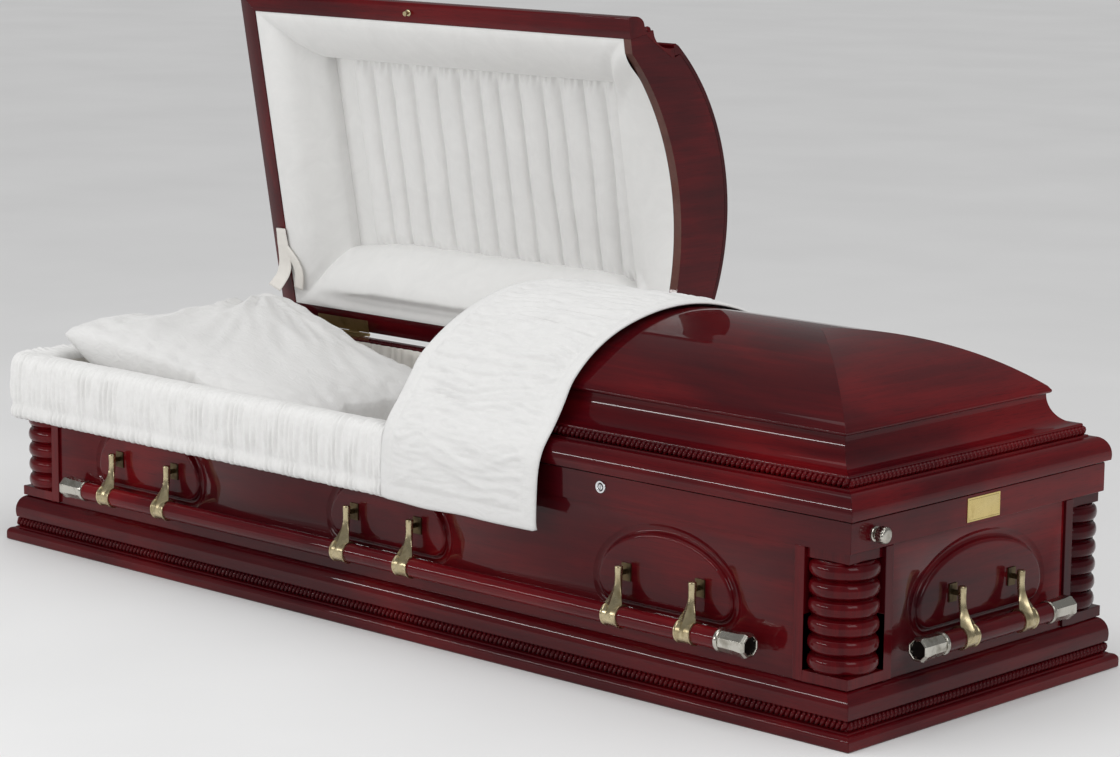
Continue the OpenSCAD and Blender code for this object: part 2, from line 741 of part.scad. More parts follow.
// Two faceted caps on the ends of a bar
module handle_tips(side) {
    half = side == "front" || side == "rear" ? side_bar_half : end_bar_half;
    color("#b7b2a0") on_side(side) for (s = [0, 1]) mirror([s, 0, 0])
        translate([half, -bar_out, bar_z]) rotate([0, 90, 0]) rotate([0, 0, 22.5]) {
            cylinder(h = 8, d = tip_d - 2);
            translate([0, 0, 4]) cylinder(h = tip_l - 4, d = tip_d, $fn = 8);
        }
}

bottom_board();
base_moulding("front");  // base_moulding_front
base_moulding("rear");  // base_moulding_rear
base_moulding("head");  // base_moulding_head
base_moulding("foot");  // base_moulding_foot
panel("front");  // panel_front
panel("rear");  // panel_rear
panel("head");  // panel_head
panel("foot");  // panel_foot
top_rail("front");  // top_rail_front
top_rail("rear");  // top_rail_rear
top_rail("head");  // top_rail_head
top_rail("foot");  // top_rail_foot
corner_post("front_head");  // corner_post_front_head
corner_post("front_foot");  // corner_post_front_foot
corner_post("rear_head");  // corner_post_rear_head
corner_post("rear_foot");  // corner_post_rear_foot
corner_column("front_head");  // corner_column_front_head
corner_column("front_foot");  // corner_column_front_foot
corner_column("rear_head");  // corner_column_rear_head
corner_column("rear_foot");  // corner_column_rear_foot
name_plate();
lock_knob();
keyhole();
mattress();
pillow();
lining("front");  // lining_front
lining("rear");  // lining_rear
lining("head");  // lining_head
lining("foot");  // lining_foot
skirt_front();
skirt_head();
throw();
foot_lid_moulding();
foot_lid_crown();
foot_lid_header();
head_lid_moulding();
head_lid_crown();
head_lid_header();
head_lid_puff_frame();
head_lid_puff_end();
head_lid_tufted_panel();
head_lid_catch();
stay_sleeve();
hinge_body_leaves();
hinge_head_lid_leaves();
hinge_foot_lid_leaves();
handle_lugs();
handle_bar("front");  // handle_front_bar
handle_arms("front");  // handle_front_arms
handle_tips("front");  // handle_front_tips
handle_bar("rear");  // handle_rear_bar
handle_arms("rear");  // handle_rear_arms
handle_tips("rear");  // handle_rear_tips
handle_bar("head");  // handle_head_bar
handle_arms("head");  // handle_head_arms
handle_tips("head");  // handle_head_tips
handle_bar("foot");  // handle_foot_bar
handle_arms("foot");  // handle_foot_arms
handle_tips("foot");  // handle_foot_tips
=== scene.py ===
"""Looks of a half-couch wooden casket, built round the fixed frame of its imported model.

Lengths are metres. X runs from the head end (-) to the foot end (+), Y from the front (-) to the hinge
side (+), Z up. An inset is measured inwards from the outer edge of the base, on all four sides. A piece
for one side is drawn as if for the front, as (along, inset, height), and then put in its place.
"""

import json
import logging
import math
from collections.abc import Callable, Iterable, Sequence
from dataclasses import dataclass, field
from enum import Enum

import bmesh
import bpy
from mathutils import Matrix, Vector, noise


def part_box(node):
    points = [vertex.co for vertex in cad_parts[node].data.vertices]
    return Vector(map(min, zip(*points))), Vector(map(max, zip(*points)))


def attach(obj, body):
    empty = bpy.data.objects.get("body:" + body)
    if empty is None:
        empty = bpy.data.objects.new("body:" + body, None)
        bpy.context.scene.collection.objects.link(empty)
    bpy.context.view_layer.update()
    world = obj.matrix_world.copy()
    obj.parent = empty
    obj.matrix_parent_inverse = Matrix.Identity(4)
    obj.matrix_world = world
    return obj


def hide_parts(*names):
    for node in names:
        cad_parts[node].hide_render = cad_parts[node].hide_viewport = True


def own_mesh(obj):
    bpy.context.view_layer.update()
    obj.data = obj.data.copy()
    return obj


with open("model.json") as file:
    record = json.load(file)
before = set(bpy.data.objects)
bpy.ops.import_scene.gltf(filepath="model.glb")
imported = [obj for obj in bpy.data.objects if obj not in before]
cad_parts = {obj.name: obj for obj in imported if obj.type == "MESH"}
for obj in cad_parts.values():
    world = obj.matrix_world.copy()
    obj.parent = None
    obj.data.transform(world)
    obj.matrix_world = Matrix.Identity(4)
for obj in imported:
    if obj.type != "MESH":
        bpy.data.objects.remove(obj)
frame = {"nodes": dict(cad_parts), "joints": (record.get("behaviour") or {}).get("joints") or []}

LOG = logging.getLogger("casket")
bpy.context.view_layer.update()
Outline = Sequence[tuple[float, float]]
Reach = Callable[[float], float]
Colour = tuple[float, float, float]
CROWN_STEPS = 26


class Side(Enum):
    """The four sides, counted as quarter turns from the front."""

    FRONT = 0
    FOOT = 1
    REAR = 2
    HEAD = 3

    @property
    def label(self) -> str:
        """The side's name in lower case."""
        return self.name.lower()

    @property
    def long(self) -> bool:
        """Whether this is one of the two long sides."""
        return self in (Side.FRONT, Side.REAR)


class Grain(Enum):
    """The axis that the grain of a board runs along."""

    X = 0
    Y = 1
    Z = 2


@dataclass(frozen=True)
class Sizes:
    """Main sizes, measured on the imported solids.

    Attributes:
        half_l, half_w: half the length and width over the base.
        base_h, rail_z, rail_top, lid_z: heights of the base, the rail's two faces and the lids' underside.
        head_cut, foot_cut: where the head lid ends and the foot lid starts.
        opened: the turn that takes the head lid from its closed place to where it stands.
    """

    half_l: float
    half_w: float
    base_h: float
    rail_z: float
    rail_top: float
    lid_z: float
    head_cut: float
    foot_cut: float
    opened: Matrix

    @classmethod
    def measured(cls) -> "Sizes":
        """Reads the sizes from the frame's boxes and the head lid's hinge.

        Returns:
            The sizes.
        """
        hinge = next(j for j in frame["joints"] if j["name"] == "head_lid_hinge")
        place = Matrix.Translation((0, *hinge["pos_m"][1:]))
        turn = Matrix.Rotation(math.radians(min(hinge["range_deg"])), 4, "X")
        base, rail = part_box("base_moulding_front"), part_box("top_rail_front")
        return cls(
            half_l=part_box("base_moulding_foot")[1].x,
            half_w=-base[0].y,
            base_h=base[1].z,
            rail_z=rail[0].z,
            rail_top=rail[1].z,
            lid_z=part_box("foot_lid_moulding")[0].z,
            head_cut=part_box("head_lid_moulding")[1].x,
            foot_cut=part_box("foot_lid_moulding")[0].x,
            opened=place @ turn @ place.inverted(),
        )

    def reach(self, side: Side) -> float:
        """Distance of a side's outer edge from the middle."""
        return self.half_w if side.long else self.half_l

    def run(self, side: Side) -> float:
        """Half the length of a side."""
        return self.half_l if side.long else self.half_w

    def place(self, side: Side) -> Matrix:
        """The transform from a front piece's own frame to the given side."""
        turn = Matrix.Rotation(side.value * math.pi / 2, 4, "Z")
        return turn @ Matrix.Translation((0, -self.reach(side), 0))


# ---------------------------------------------------------------- outlines


def arc(cx: float, cy: float, rx: float, ry: float, start: float, end: float, steps: int) -> list:
    """Points on an ellipse.

    Args:
        cx, cy: centre.
        rx, ry: half axes.
        start, end: angles in degrees.
        steps: number of chords.

    Returns:
        The points, both ends included.
    """
    angles = [math.radians(start + (end - start) * i / steps) for i in range(steps + 1)]
    return [(cx + rx * math.cos(a), cy + ry * math.sin(a)) for a in angles]


def softened(points: Outline, passes: int = 2) -> list:
    """Cuts the corners of an open line a few times, so that it turns into a smooth curve.

    Args:
        points: the line.
        passes: how often its corners are cut.

    Returns:
        The curve's points.
    """
    line = [Vector(p) for p in points]
    for _ in range(passes):
        cut = [line[0]]
        for a, b in zip(line, line[1:]):
            cut += [a.lerp(b, 0.25), a.lerp(b, 0.75)]
        line = cut + [line[-1]]
    return line


def along(line: Sequence[Vector], share: float) -> Vector:
    """Finds the point at a share of a line's length.

    Args:
        line: the line's points.
        share: how far along it, from 0 to 1.

    Returns:
        The point.
    """
    steps = [(b - a).length for a, b in zip(line, line[1:])]
    left = min(max(share, 0.0), 1.0) * sum(steps)
    for a, b, step in zip(line, line[1:], steps):
        if left <= step:
            return a.lerp(b, left / step if step else 0.0)
        left -= step
    return line[-1]


def smooth(t: float) -> float:
    """An S-shaped step from 0 to 1."""
    t = min(max(t, 0.0), 1.0)
    return t * t * (3 - 2 * t)


def ripple(*place: float) -> float:
    """Smooth noise from about -1 to 1 at a place given by up to three numbers."""
    return noise.noise(Vector((*place, *(0.0,) * (3 - len(place)))))


# ---------------------------------------------------------------- finishes


class Recipe:
    """A material's node tree, built node by node."""

    def __init__(self, name: str) -> None:
        """Starts a material with a bare Principled shader.

        Args:
            name: the material's name.
        """
        self.material = bpy.data.materials.new(name)
        self.material.use_nodes = True
        self.tree = self.material.node_tree
        self.shader = self.tree.nodes["Principled BSDF"]

    def set(self, **values: object) -> "Recipe":
        """Sets the shader's own sockets; an underscore in a name stands for a space."""
        for name, value in values.items():
            self.shader.inputs[name.replace("_", " ")].default_value = value
        return self

    def node(self, kind: str, sockets: dict | None = None, **settings: object) -> bpy.types.Node:
        """Adds a node.

        Args:
            kind: the node's type, without ShaderNode.
            sockets: values or source sockets for its inputs.
            settings: the node's own properties.

        Returns:
            The new node.
        """
        made = self.tree.nodes.new("ShaderNode" + kind)
        for name, value in settings.items():
            setattr(made, name, value)
        for name, value in (sockets or {}).items():
            if isinstance(value, bpy.types.NodeSocket):
                self.tree.links.new(value, made.inputs[name])
            else:
                made.inputs[name].default_value = value
        return made

    def scaled(self, scale: Sequence[float]) -> bpy.types.NodeSocket:
        """Object coordinates times a scale."""
        source = self.node("TexCoord").outputs["Object"]
        return self.node("Mapping", {"Vector": source, "Scale": scale}).outputs["Vector"]

    def noise(self, vector: bpy.types.NodeSocket, scale: float, detail: float, warp: float = 0.0,
              rough: float = 0.5) -> bpy.types.NodeSocket:
        """A noise texture's value."""
        values = {"Vector": vector, "Scale": scale, "Detail": detail, "Distortion": warp, "Roughness": rough}
        return self.node("TexNoise", values).outputs["Fac"]

    def ramp(self, value: bpy.types.NodeSocket,
             stops: Sequence[tuple[float, Colour]]) -> bpy.types.NodeSocket:
        """Colours along a value.

        Args:
            value: what chooses the colour.
            stops: at least two colours, each with its place from 0 to 1.

        Returns:
            The colour.
        """
        made = self.node("ValToRGB", {"Fac": value})
        elements = made.color_ramp.elements
        while len(elements) < len(stops):
            elements.new(0.5)
        for element, (place, colour) in zip(elements, stops):
            element.position = place
            element.color = (*colour, 1)
        return made.outputs["Color"]

    def spread(self, value: bpy.types.NodeSocket, low: float, high: float, start: float = 0.0,
               end: float = 1.0) -> bpy.types.NodeSocket:
        """A value mapped from start..end to low..high."""
        sockets = {"Value": value, "From Min": start, "From Max": end, "To Min": low, "To Max": high}
        return self.node("MapRange", sockets).outputs["Result"]

    def mixed(self, factor: object, a: object, b: object) -> bpy.types.NodeSocket:
        """Two colours mixed by a factor; each of the three is a socket or a value.

        Args:
            factor: the share of the second colour.
            a, b: the colours.

        Returns:
            The mixed colour.
        """
        made = self.node("Mix", data_type="RGBA", blend_type="MIX")
        for index, value in ((0, factor), (6, a), (7, b)):
            if isinstance(value, bpy.types.NodeSocket):
                self.tree.links.new(value, made.inputs[index])
            else:
                made.inputs[index].default_value = value if index == 0 else (*value, 1)
        return made.outputs[2]

    def into(self, socket: str, source: bpy.types.NodeSocket) -> "Recipe":
        """Links a source to one of the shader's sockets."""
        self.tree.links.new(source, self.shader.inputs[socket])
        return self

    def bump(self, height: bpy.types.NodeSocket, depth: float) -> "Recipe":
        """Links a height map to the shader's normal, at a depth in metres."""
        made = self.node("Bump", {"Height": height, "Distance": depth, "Strength": 1.0})
        return self.into("Normal", made.outputs["Normal"])


@dataclass(frozen=True)
class Lacquer:
    """Cherry-stained hardwood under clear gloss lacquer.

    Attributes:
        grain: the axis that the grain runs along.
        dark, middle, bright: colours of the stain, from pores to early wood.
        tone: how much brighter than usual the board is; on the bar this is its own lighter wood, on the end
            boards it is painted light, a lit copy of the same cherry.
        label: start of the material's name.
    """

    grain: Grain
    dark: Colour = (0.024, 0.0009, 0.0028)
    middle: Colour = (0.060, 0.0014, 0.0034)
    bright: Colour = (0.135, 0.0030, 0.0048)
    tone: float = 1.0
    label: str = "cherry"

    def material(self) -> bpy.types.Material:
        """Makes the material: cloudy stain, long streaks and short pores along the grain.

        Returns:
            The material.
        """
        recipe = Recipe(f"{self.label}_{self.grain.name.lower()}")

        def stretched(across: float, lengthwise: float) -> bpy.types.NodeSocket:
            """Coordinates with one scale across the grain and another along it."""
            scale = [across] * 3
            scale[self.grain.value] = lengthwise
            return recipe.scaled(scale)

        cloud = recipe.noise(stretched(5.0, 2.2), 1.0, 3.0, 0.6)
        streak = recipe.noise(stretched(55.0, 2.4), 1.0, 6.0, 0.35, 0.62)
        pore = recipe.noise(stretched(900.0, 26.0), 1.0, 2.0)
        tint = recipe.node("Math", {0: cloud, 1: recipe.spread(streak, -0.22, 0.22)}, operation="ADD")
        stain = recipe.ramp(tint.outputs[0], (
            (0.20, self.dark), (0.47, tuple(c * self.tone for c in self.middle)),
            (0.78, tuple(c * self.tone for c in self.bright))))
        pores = recipe.spread(pore, 1.0, 0.0, 0.30, 0.44)
        recipe.into("Base Color", recipe.mixed(recipe.spread(pores, 0.0, 0.5), stain, self.dark))
        recipe.into("Roughness", recipe.spread(streak, 0.30, 0.44))
        recipe.bump(recipe.noise(recipe.scaled((60.0,) * 3), 1.0, 2.0), 0.00012)
        recipe.set(Coat_Weight=0.9, Coat_Roughness=0.025, Coat_IOR=1.3, Specular_IOR_Level=0.04)
        return recipe.material


@dataclass(frozen=True)
class Velvet:
    """White casket cloth.

    Attributes:
        label: what the cloth is used for.
        colour: colour of the pile.
        crush: height of the crushed pile's unevenness.
        size: distance between its creases.
        weave: height of the fine weave.
        stretch: scale of the creases along each axis.
    """

    label: str
    colour: Colour = (0.79, 0.787, 0.775)
    crush: float = 0.0012
    size: float = 0.02
    weave: float = 0.00018
    stretch: tuple[float, float, float] = (1.0, 1.0, 1.0)

    def material(self) -> bpy.types.Material:
        """Makes the material: short crushed creases over a fine pile, with a soft sheen, painted shade in
        the creases' hollows and painted highlights on their crests.

        Returns:
            The material.
        """
        recipe = Recipe(self.label)
        wide = recipe.scaled(self.stretch)
        crease = recipe.noise(wide, 1 / self.size, 5.0, 1.4, 0.6)
        pile = recipe.noise(recipe.scaled((1.0,) * 3), 1500.0, 2.0)
        # Colour follows the crease bump: painted shade where it is low, painted highlight where it is high.
        painted_crease_shade = recipe.ramp(crease, (
            (0.25, tuple(c * 0.95 for c in self.colour)), (0.6, self.colour),
            (0.8, tuple(min(1.0, c * 1.03) for c in self.colour))))
        recipe.into("Base Color", recipe.mixed(recipe.spread(pile, 0.0, 0.10), painted_crease_shade, (0.66, 0.65, 0.63)))
        first = recipe.node("Bump", {"Height": pile, "Distance": self.weave})
        second = recipe.node("Bump", {
            "Height": crease, "Distance": self.crush, "Normal": first.outputs["Normal"]})
        recipe.into("Normal", second.outputs["Normal"])
        recipe.into("Roughness", recipe.spread(crease, 0.62, 0.86))
        recipe.set(Sheen_Weight=0.35, Sheen_Roughness=0.4, Specular_IOR_Level=0.25)
        return recipe.material


@dataclass(frozen=True)
class Metal:
    """Brushed or polished metal, darkened in clouds of patina.

    Attributes:
        label: the material's name.
        bright, dull: colours of the polished and of the darkened metal.
        gloss: roughness of the polished metal.
        wear: how wide the change from dull to bright is.
        brush: scale of the brush marks along each axis.
    """

    label: str
    bright: Colour
    dull: Colour
    gloss: float = 0.24
    wear: float = 0.5
    brush: tuple[float, float, float] = (260.0, 260.0, 40.0)

    def material(self) -> bpy.types.Material:
        """Makes the material: a cloudy patina over fine brush marks.

        Returns:
            The material.
        """
        recipe = Recipe(self.label)
        patina = recipe.noise(recipe.scaled((45.0,) * 3), 1.0, 5.0, 0.3)
        marks = recipe.noise(recipe.scaled(self.brush), 1.0, 3.0)
        tone = recipe.ramp(patina, ((0.3, self.dull), (0.3 + 0.4 * self.wear, self.bright)))
        recipe.into("Base Color", recipe.mixed(recipe.spread(marks, 0.0, 0.25), tone, self.dull))
        recipe.into("Roughness", recipe.spread(patina, self.gloss + 0.16, self.gloss - 0.05, 0.3, 0.7))
        recipe.bump(marks, 0.00004)
        recipe.set(Metallic=1.0)
        return recipe.material


class Finish(Enum):
    """Every finish on the casket, with the record's material slot that it belongs to."""

    WOOD_X = (Lacquer(Grain.X), "cherry_finished_wood")
    # End boards: the same cherry made 15 percent brighter, painted light that stands for the better-lit foot
    # end.
    WOOD_Y = (Lacquer(Grain.Y, tone=1.15), "cherry_finished_wood")
    WOOD_Z = (Lacquer(Grain.Z), "cherry_finished_wood")
    EDGE = (Lacquer(Grain.Y, (0.05, 0.02, 0.017), (0.11, 0.045, 0.036), (0.16, 0.07, 0.055),
                    label="board_edge"), "cherry_finished_wood")
    BAR_X = (Lacquer(Grain.X, tone=1.3, label="bar"), "bar_wood")
    BAR_Y = (Lacquer(Grain.Y, tone=1.3, label="bar"), "bar_wood")
    PUFFED = (Velvet("puffed_cloth", crush=0.00022, size=0.06, weave=0.00010), "white_velvet")
    SHIRRED = (Velvet("shirred_cloth", crush=0.0005, size=0.016, weave=0.00012), "white_velvet")
    CRUSHED = (Velvet("crushed_velvet", (0.745, 0.742, 0.733), crush=0.0014, size=0.016, weave=0.00012,
                      stretch=(0.45, 1.0, 1.0)), "white_velvet")
    LINING = (Velvet("lining_cloth", (0.78, 0.75, 0.7), 0.0008, 0.03), "white_velvet")
    TICKING = (Velvet("mattress_ticking", (0.76, 0.75, 0.72), 0.0004, 0.05, 0.0003), "mattress_ticking")
    BRASS = (Metal("antique_brass", (0.60, 0.51, 0.32), (0.36, 0.29, 0.16)), "antique_brass")
    # The lugs share the brass slot but are near-black: painted shade that stands for the shadow behind the
    # arms' tops.
    LUG = (Metal("lug_brass", (0.13, 0.095, 0.05), (0.05, 0.034, 0.02), 0.4), "antique_brass")
    HINGE = (Metal("hinge_brass", (0.34, 0.25, 0.12), (0.2, 0.14, 0.065), 0.4), "hinge_brass")
    PLATE = (Metal("plate_brass", (0.76, 0.6, 0.25), (0.62, 0.47, 0.18), 0.2, 0.3, (400, 30, 400)),
             "plate_brass")
    SILVER = (Metal("aged_silver", (0.62, 0.60, 0.54), (0.34, 0.32, 0.27), 0.2), "aged_silver")
    CHROME = (Metal("bright_chrome", (0.78, 0.78, 0.8), (0.5, 0.5, 0.52), 0.12, 0.2), "bright_chrome")
    # Near-black metal: painted shade, put on discs that stand for hollows and holes too dark to see into.
    DARK = (Metal("dark_recess", (0.03, 0.027, 0.025), (0.012, 0.01, 0.01), 0.5), "aged_silver")

    @property
    def slot(self) -> str:
        """The record's material slot."""
        return self.value[1]

    def material(self) -> bpy.types.Material:
        """The finish's material, made on first use."""
        if self not in _MADE:
            _MADE[self] = self.value[0].material()
        return _MADE[self]

    @classmethod
    def wood(cls, side: Side, standing: bool = False) -> "Finish":
        """Wood with its grain along a side; standing is for the end of a lid that stands open."""
        if side.long:
            return cls.WOOD_X
        return cls.WOOD_Z if standing else cls.WOOD_Y


_MADE: dict[Finish, bpy.types.Material] = {}


def repaint(node: str, finish: Finish) -> None:
    """Gives a solid that keeps its own shape a finish."""
    materials = frame["nodes"][node].data.materials
    materials.clear()
    materials.append(finish.material())


# ---------------------------------------------------------------- bench


class Bench:
    """A mesh being worked, with the steps that shape it and make it a piece."""

    def __init__(self) -> None:
        """Starts an empty mesh."""
        self.bm = bmesh.new()

    def length(self, outline: Outline, left: Reach, right: Reach, place: Matrix = Matrix()) -> None:
        """Adds a closed length of moulding whose ends are cut along any line.

        Args:
            outline: its section as (inset, height).
            left, right: where each end is, as a function of the inset.
            place: transform from the front's frame.
        """
        section = [self.bm.verts.new((left(inset), inset, z)) for inset, z in outline]
        first = self.bm.faces.new(section)
        grown = bmesh.ops.extrude_face_region(self.bm, geom=[first], use_keep_orig=True)["geom"]
        far = [v for v in grown if isinstance(v, bmesh.types.BMVert)]
        for vert in far:
            vert.co.x = right(vert.co.y)
        bmesh.ops.transform(self.bm, matrix=place, verts=section + far)

    def beads(self, inset: float, height: float, size: Vector, ends: tuple[float, float], pitch: float,
              place: Matrix) -> None:
        """Adds a row of slanting beads, the twist of a rope moulding.

        Args:
            inset, height: the row's axis.
            size: half sizes of a bead along, inwards and up.
            ends: where the row starts and stops.
            pitch: distance between beads.
            place: transform from the front's frame.
        """
        count = int((ends[1] - ends[0]) / pitch)
        slant = Matrix.Rotation(math.radians(24), 4, "Y") @ Matrix.Diagonal((*size, 1))
        for i in range(count):
            centre = Matrix.Translation((ends[0] + (i + 0.5) * (ends[1] - ends[0]) / count, inset, height))
            bmesh.ops.create_uvsphere(
                self.bm, u_segments=8, v_segments=5, radius=1.0, matrix=place @ centre @ slant)

    def loop(self, points: Iterable[Sequence[float]]) -> list[bmesh.types.BMEdge]:
        """Adds a closed line and returns its edges."""
        verts = [self.bm.verts.new(p) for p in points]
        return [self.bm.edges.new((a, b)) for a, b in zip(verts, verts[1:] + verts[:1])]

    def loft(self, loops: Iterable[Iterable[Sequence[float]]]) -> None:
        """Bridges closed lines one after the other, and fills the first and the last.

        Args:
            loops: the lines, each as its points.
        """
        edges = [self.loop(points) for points in loops]
        for a, b in zip(edges, edges[1:]):
            bmesh.ops.bridge_loops(self.bm, edges=a + b)
        for ring in (edges[0], edges[-1]):
            bmesh.ops.contextual_create(self.bm, geom=ring)

    def turned(self, profile: Outline, place: Matrix = Matrix(), steps: int = 48,
               ring: bool = False) -> None:
        """Adds a turned piece.

        Args:
            profile: its outline as (radius, height), from one end of the axis to the other.
            place: transform from an upright piece on the origin.
            steps: facets round it.
            ring: whether the outline closes on itself.
        """
        verts = [self.bm.verts.new((r, 0, z)) for r, z in profile]
        pairs = list(zip(verts, verts[1:])) + ([(verts[-1], verts[0])] if ring else [])
        edges = [self.bm.edges.new(pair) for pair in pairs]
        before = set(self.bm.verts)
        bmesh.ops.spin(self.bm, geom=verts + edges, cent=(0, 0, 0), axis=(0, 0, 1), angle=math.tau,
                       steps=steps, use_merge=True, use_duplicate=False)
        new = [v for v in self.bm.verts if v not in before] + verts
        bmesh.ops.transform(self.bm, matrix=place, verts=new)

    def box(self, low: Sequence[float], high: Sequence[float], place: Matrix = Matrix()) -> None:
        """Adds a box between two corners."""
        size = [b - a for a, b in zip(low, high)]
        centre = Matrix.Translation([(a + b) / 2 for a, b in zip(low, high)])
        bmesh.ops.create_cube(self.bm, size=1.0, matrix=place @ centre @ Matrix.Diagonal((*size, 1)))

    def cut(self, point: Sequence[float], normal: Sequence[float]) -> None:
        """Cuts away what lies beyond a plane and closes the cut.

        Args:
            point: a point on the plane.
            normal: the side that is cut away.
        """
        geometry = self.bm.verts[:] + self.bm.edges[:] + self.bm.faces[:]
        made = bmesh.ops.bisect_plane(
            self.bm, geom=geometry, plane_co=point, plane_no=normal, clear_outer=True)
        rim = [g for g in made["geom_cut"] if isinstance(g, bmesh.types.BMEdge)]
        bmesh.ops.triangle_fill(self.bm, edges=rim, use_beauty=True)

    def sheet(self, columns: int, rows: int, surface: Callable[[float, float], Sequence[float]],
              size: tuple[float, float] = (1.0, 1.0)) -> None:
        """Adds a sheet of cloth, shaped by a function of two shares from 0 to 1.

        Args:
            columns, rows: faces each way.
            surface: the place of each point.
            size: what the sheet's UV map spans, in metres.
        """
        before = set(self.bm.verts)
        bmesh.ops.create_grid(self.bm, x_segments=columns, y_segments=rows, size=1.0)
        chart = self.bm.loops.layers.uv.verify()
        new = [v for v in self.bm.verts if v not in before]
        shares = {v: ((v.co.x + 1) / 2, (v.co.y + 1) / 2) for v in new}
        for face in {f for v in new for f in v.link_faces}:
            for corner in face.loops:
                u, v = shares[corner.vert]
                corner[chart].uv = (u * size[0], v * size[1])
        for vert, (u, v) in shares.items():
            vert.co = surface(u, v)

    def finish(self, name: str, finish: Finish, body: str, stands_for: Iterable[str] = (),
               sharp: float = 35.0, bevel: float = 0.0, place: Matrix = Matrix(), closed: bool = True,
               facing: Vector | None = None) -> bpy.types.Object:
        """Turns the mesh into a dressed piece.

        Args:
            name: the piece's name.
            finish: its finish.
            body: the body that it rides on.
            stands_for: the solids that it replaces.
            sharp: angle in degrees above which an edge stays crisp.
            bevel: width of the rounding of its crisp edges.
            place: last transform, such as the open lid's turn.
            closed: whether the mesh is a closed solid, whose normals can be worked out.
            facing: way that most of an open sheet faces.

        Returns:
            The piece.
        """
        bmesh.ops.remove_doubles(self.bm, verts=self.bm.verts, dist=1e-6)
        bmesh.ops.transform(self.bm, matrix=place, verts=self.bm.verts)
        if closed or facing is not None:
            bmesh.ops.recalc_face_normals(self.bm, faces=self.bm.faces)
        if facing is not None and sum(f.normal.dot(facing) * f.calc_area() for f in self.bm.faces) < 0:
            bmesh.ops.reverse_faces(self.bm, faces=self.bm.faces)
        for edge in self.bm.edges:
            edge.smooth = edge.calc_face_angle(0.0) < math.radians(sharp)
        for face in self.bm.faces:
            face.smooth = True
        mesh = bpy.data.meshes.new(name)
        self.bm.to_mesh(mesh)
        self.bm.free()
        piece = bpy.data.objects.new(name, mesh)
        bpy.context.scene.collection.objects.link(piece)
        mesh.materials.append(finish.material())
        if bevel:
            worked = piece.modifiers.new("rounding", "BEVEL")
            worked.width = bevel
            worked.segments = 2
            worked.limit_method = "ANGLE"
            worked.angle_limit = math.radians(sharp)
            worked.harden_normals = True
        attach(piece, body)
        finish.slot
        if stands_for:
            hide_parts(*stands_for)
        LOG.info("%s on %s", name, body)
        return piece


# ---------------------------------------------------------------- woodwork


@dataclass
class Base:
    """The base moulding: a bullnosed lip, a rope of beads in its groove, and a quarter round above.

    Attributes:
        sizes: main sizes of the casket.
        lip_h: height of the lip.
        groove: inset of the groove's back.
        rope_inset, rope_z: axis of the rope.
        bead: half sizes of a bead.
        pitch: distance between beads.
        wall: inset of the moulding's back.
    """

    sizes: Sizes
    lip_h: float = 0.024
    groove: float = 0.0185
    rope_inset: float = 0.0172
    rope_z: float = 0.036
    bead: Vector = field(default_factory=lambda: Vector((0.0046, 0.0078, 0.0086)))
    pitch: float = 0.0102
    wall: float = 0.049

    def outline(self) -> Outline:
        """The moulding's section.

        Returns:
            Its points as (inset, height).
        """
        top = self.sizes.base_h
        return [
            (0.002, 0.0), (0.0, 0.002), *arc(0.010, self.lip_h - 0.010, 0.010, 0.010, 180, 90, 8),
            (0.0125, self.lip_h), (0.0135, self.lip_h + 0.002), (self.groove, self.lip_h + 0.004),
            (self.groove, self.rope_z + 0.0085), (0.0145, self.rope_z + 0.0095),
            *arc(0.031, 0.0575, 0.0178, 0.0305, 196, 90, 18), (0.031, top),
            (self.wall, top), (self.wall, 0.0)]

    def build(self) -> None:
        """Makes the four mitred lengths and their ropes."""
        for side in Side:
            run, place = self.sizes.run(side), self.sizes.place(side)
            bench = Bench()
            bench.length(self.outline(), lambda i: i - run, lambda i: run - i, place)
            bench.finish(f"base_moulding_{side.label}_visual", Finish.wood(side), "casket",
                         [f"base_moulding_{side.label}"], bevel=0.0006)
            bench = Bench()
            end = run - self.rope_inset
            bench.beads(self.rope_inset, self.rope_z, self.bead, (-end, end), self.pitch, place)
            bench.finish(f"base_rope_{side.label}", Finish.wood(side), "casket", sharp=90)
        repaint("bottom_board", Finish.WOOD_X)


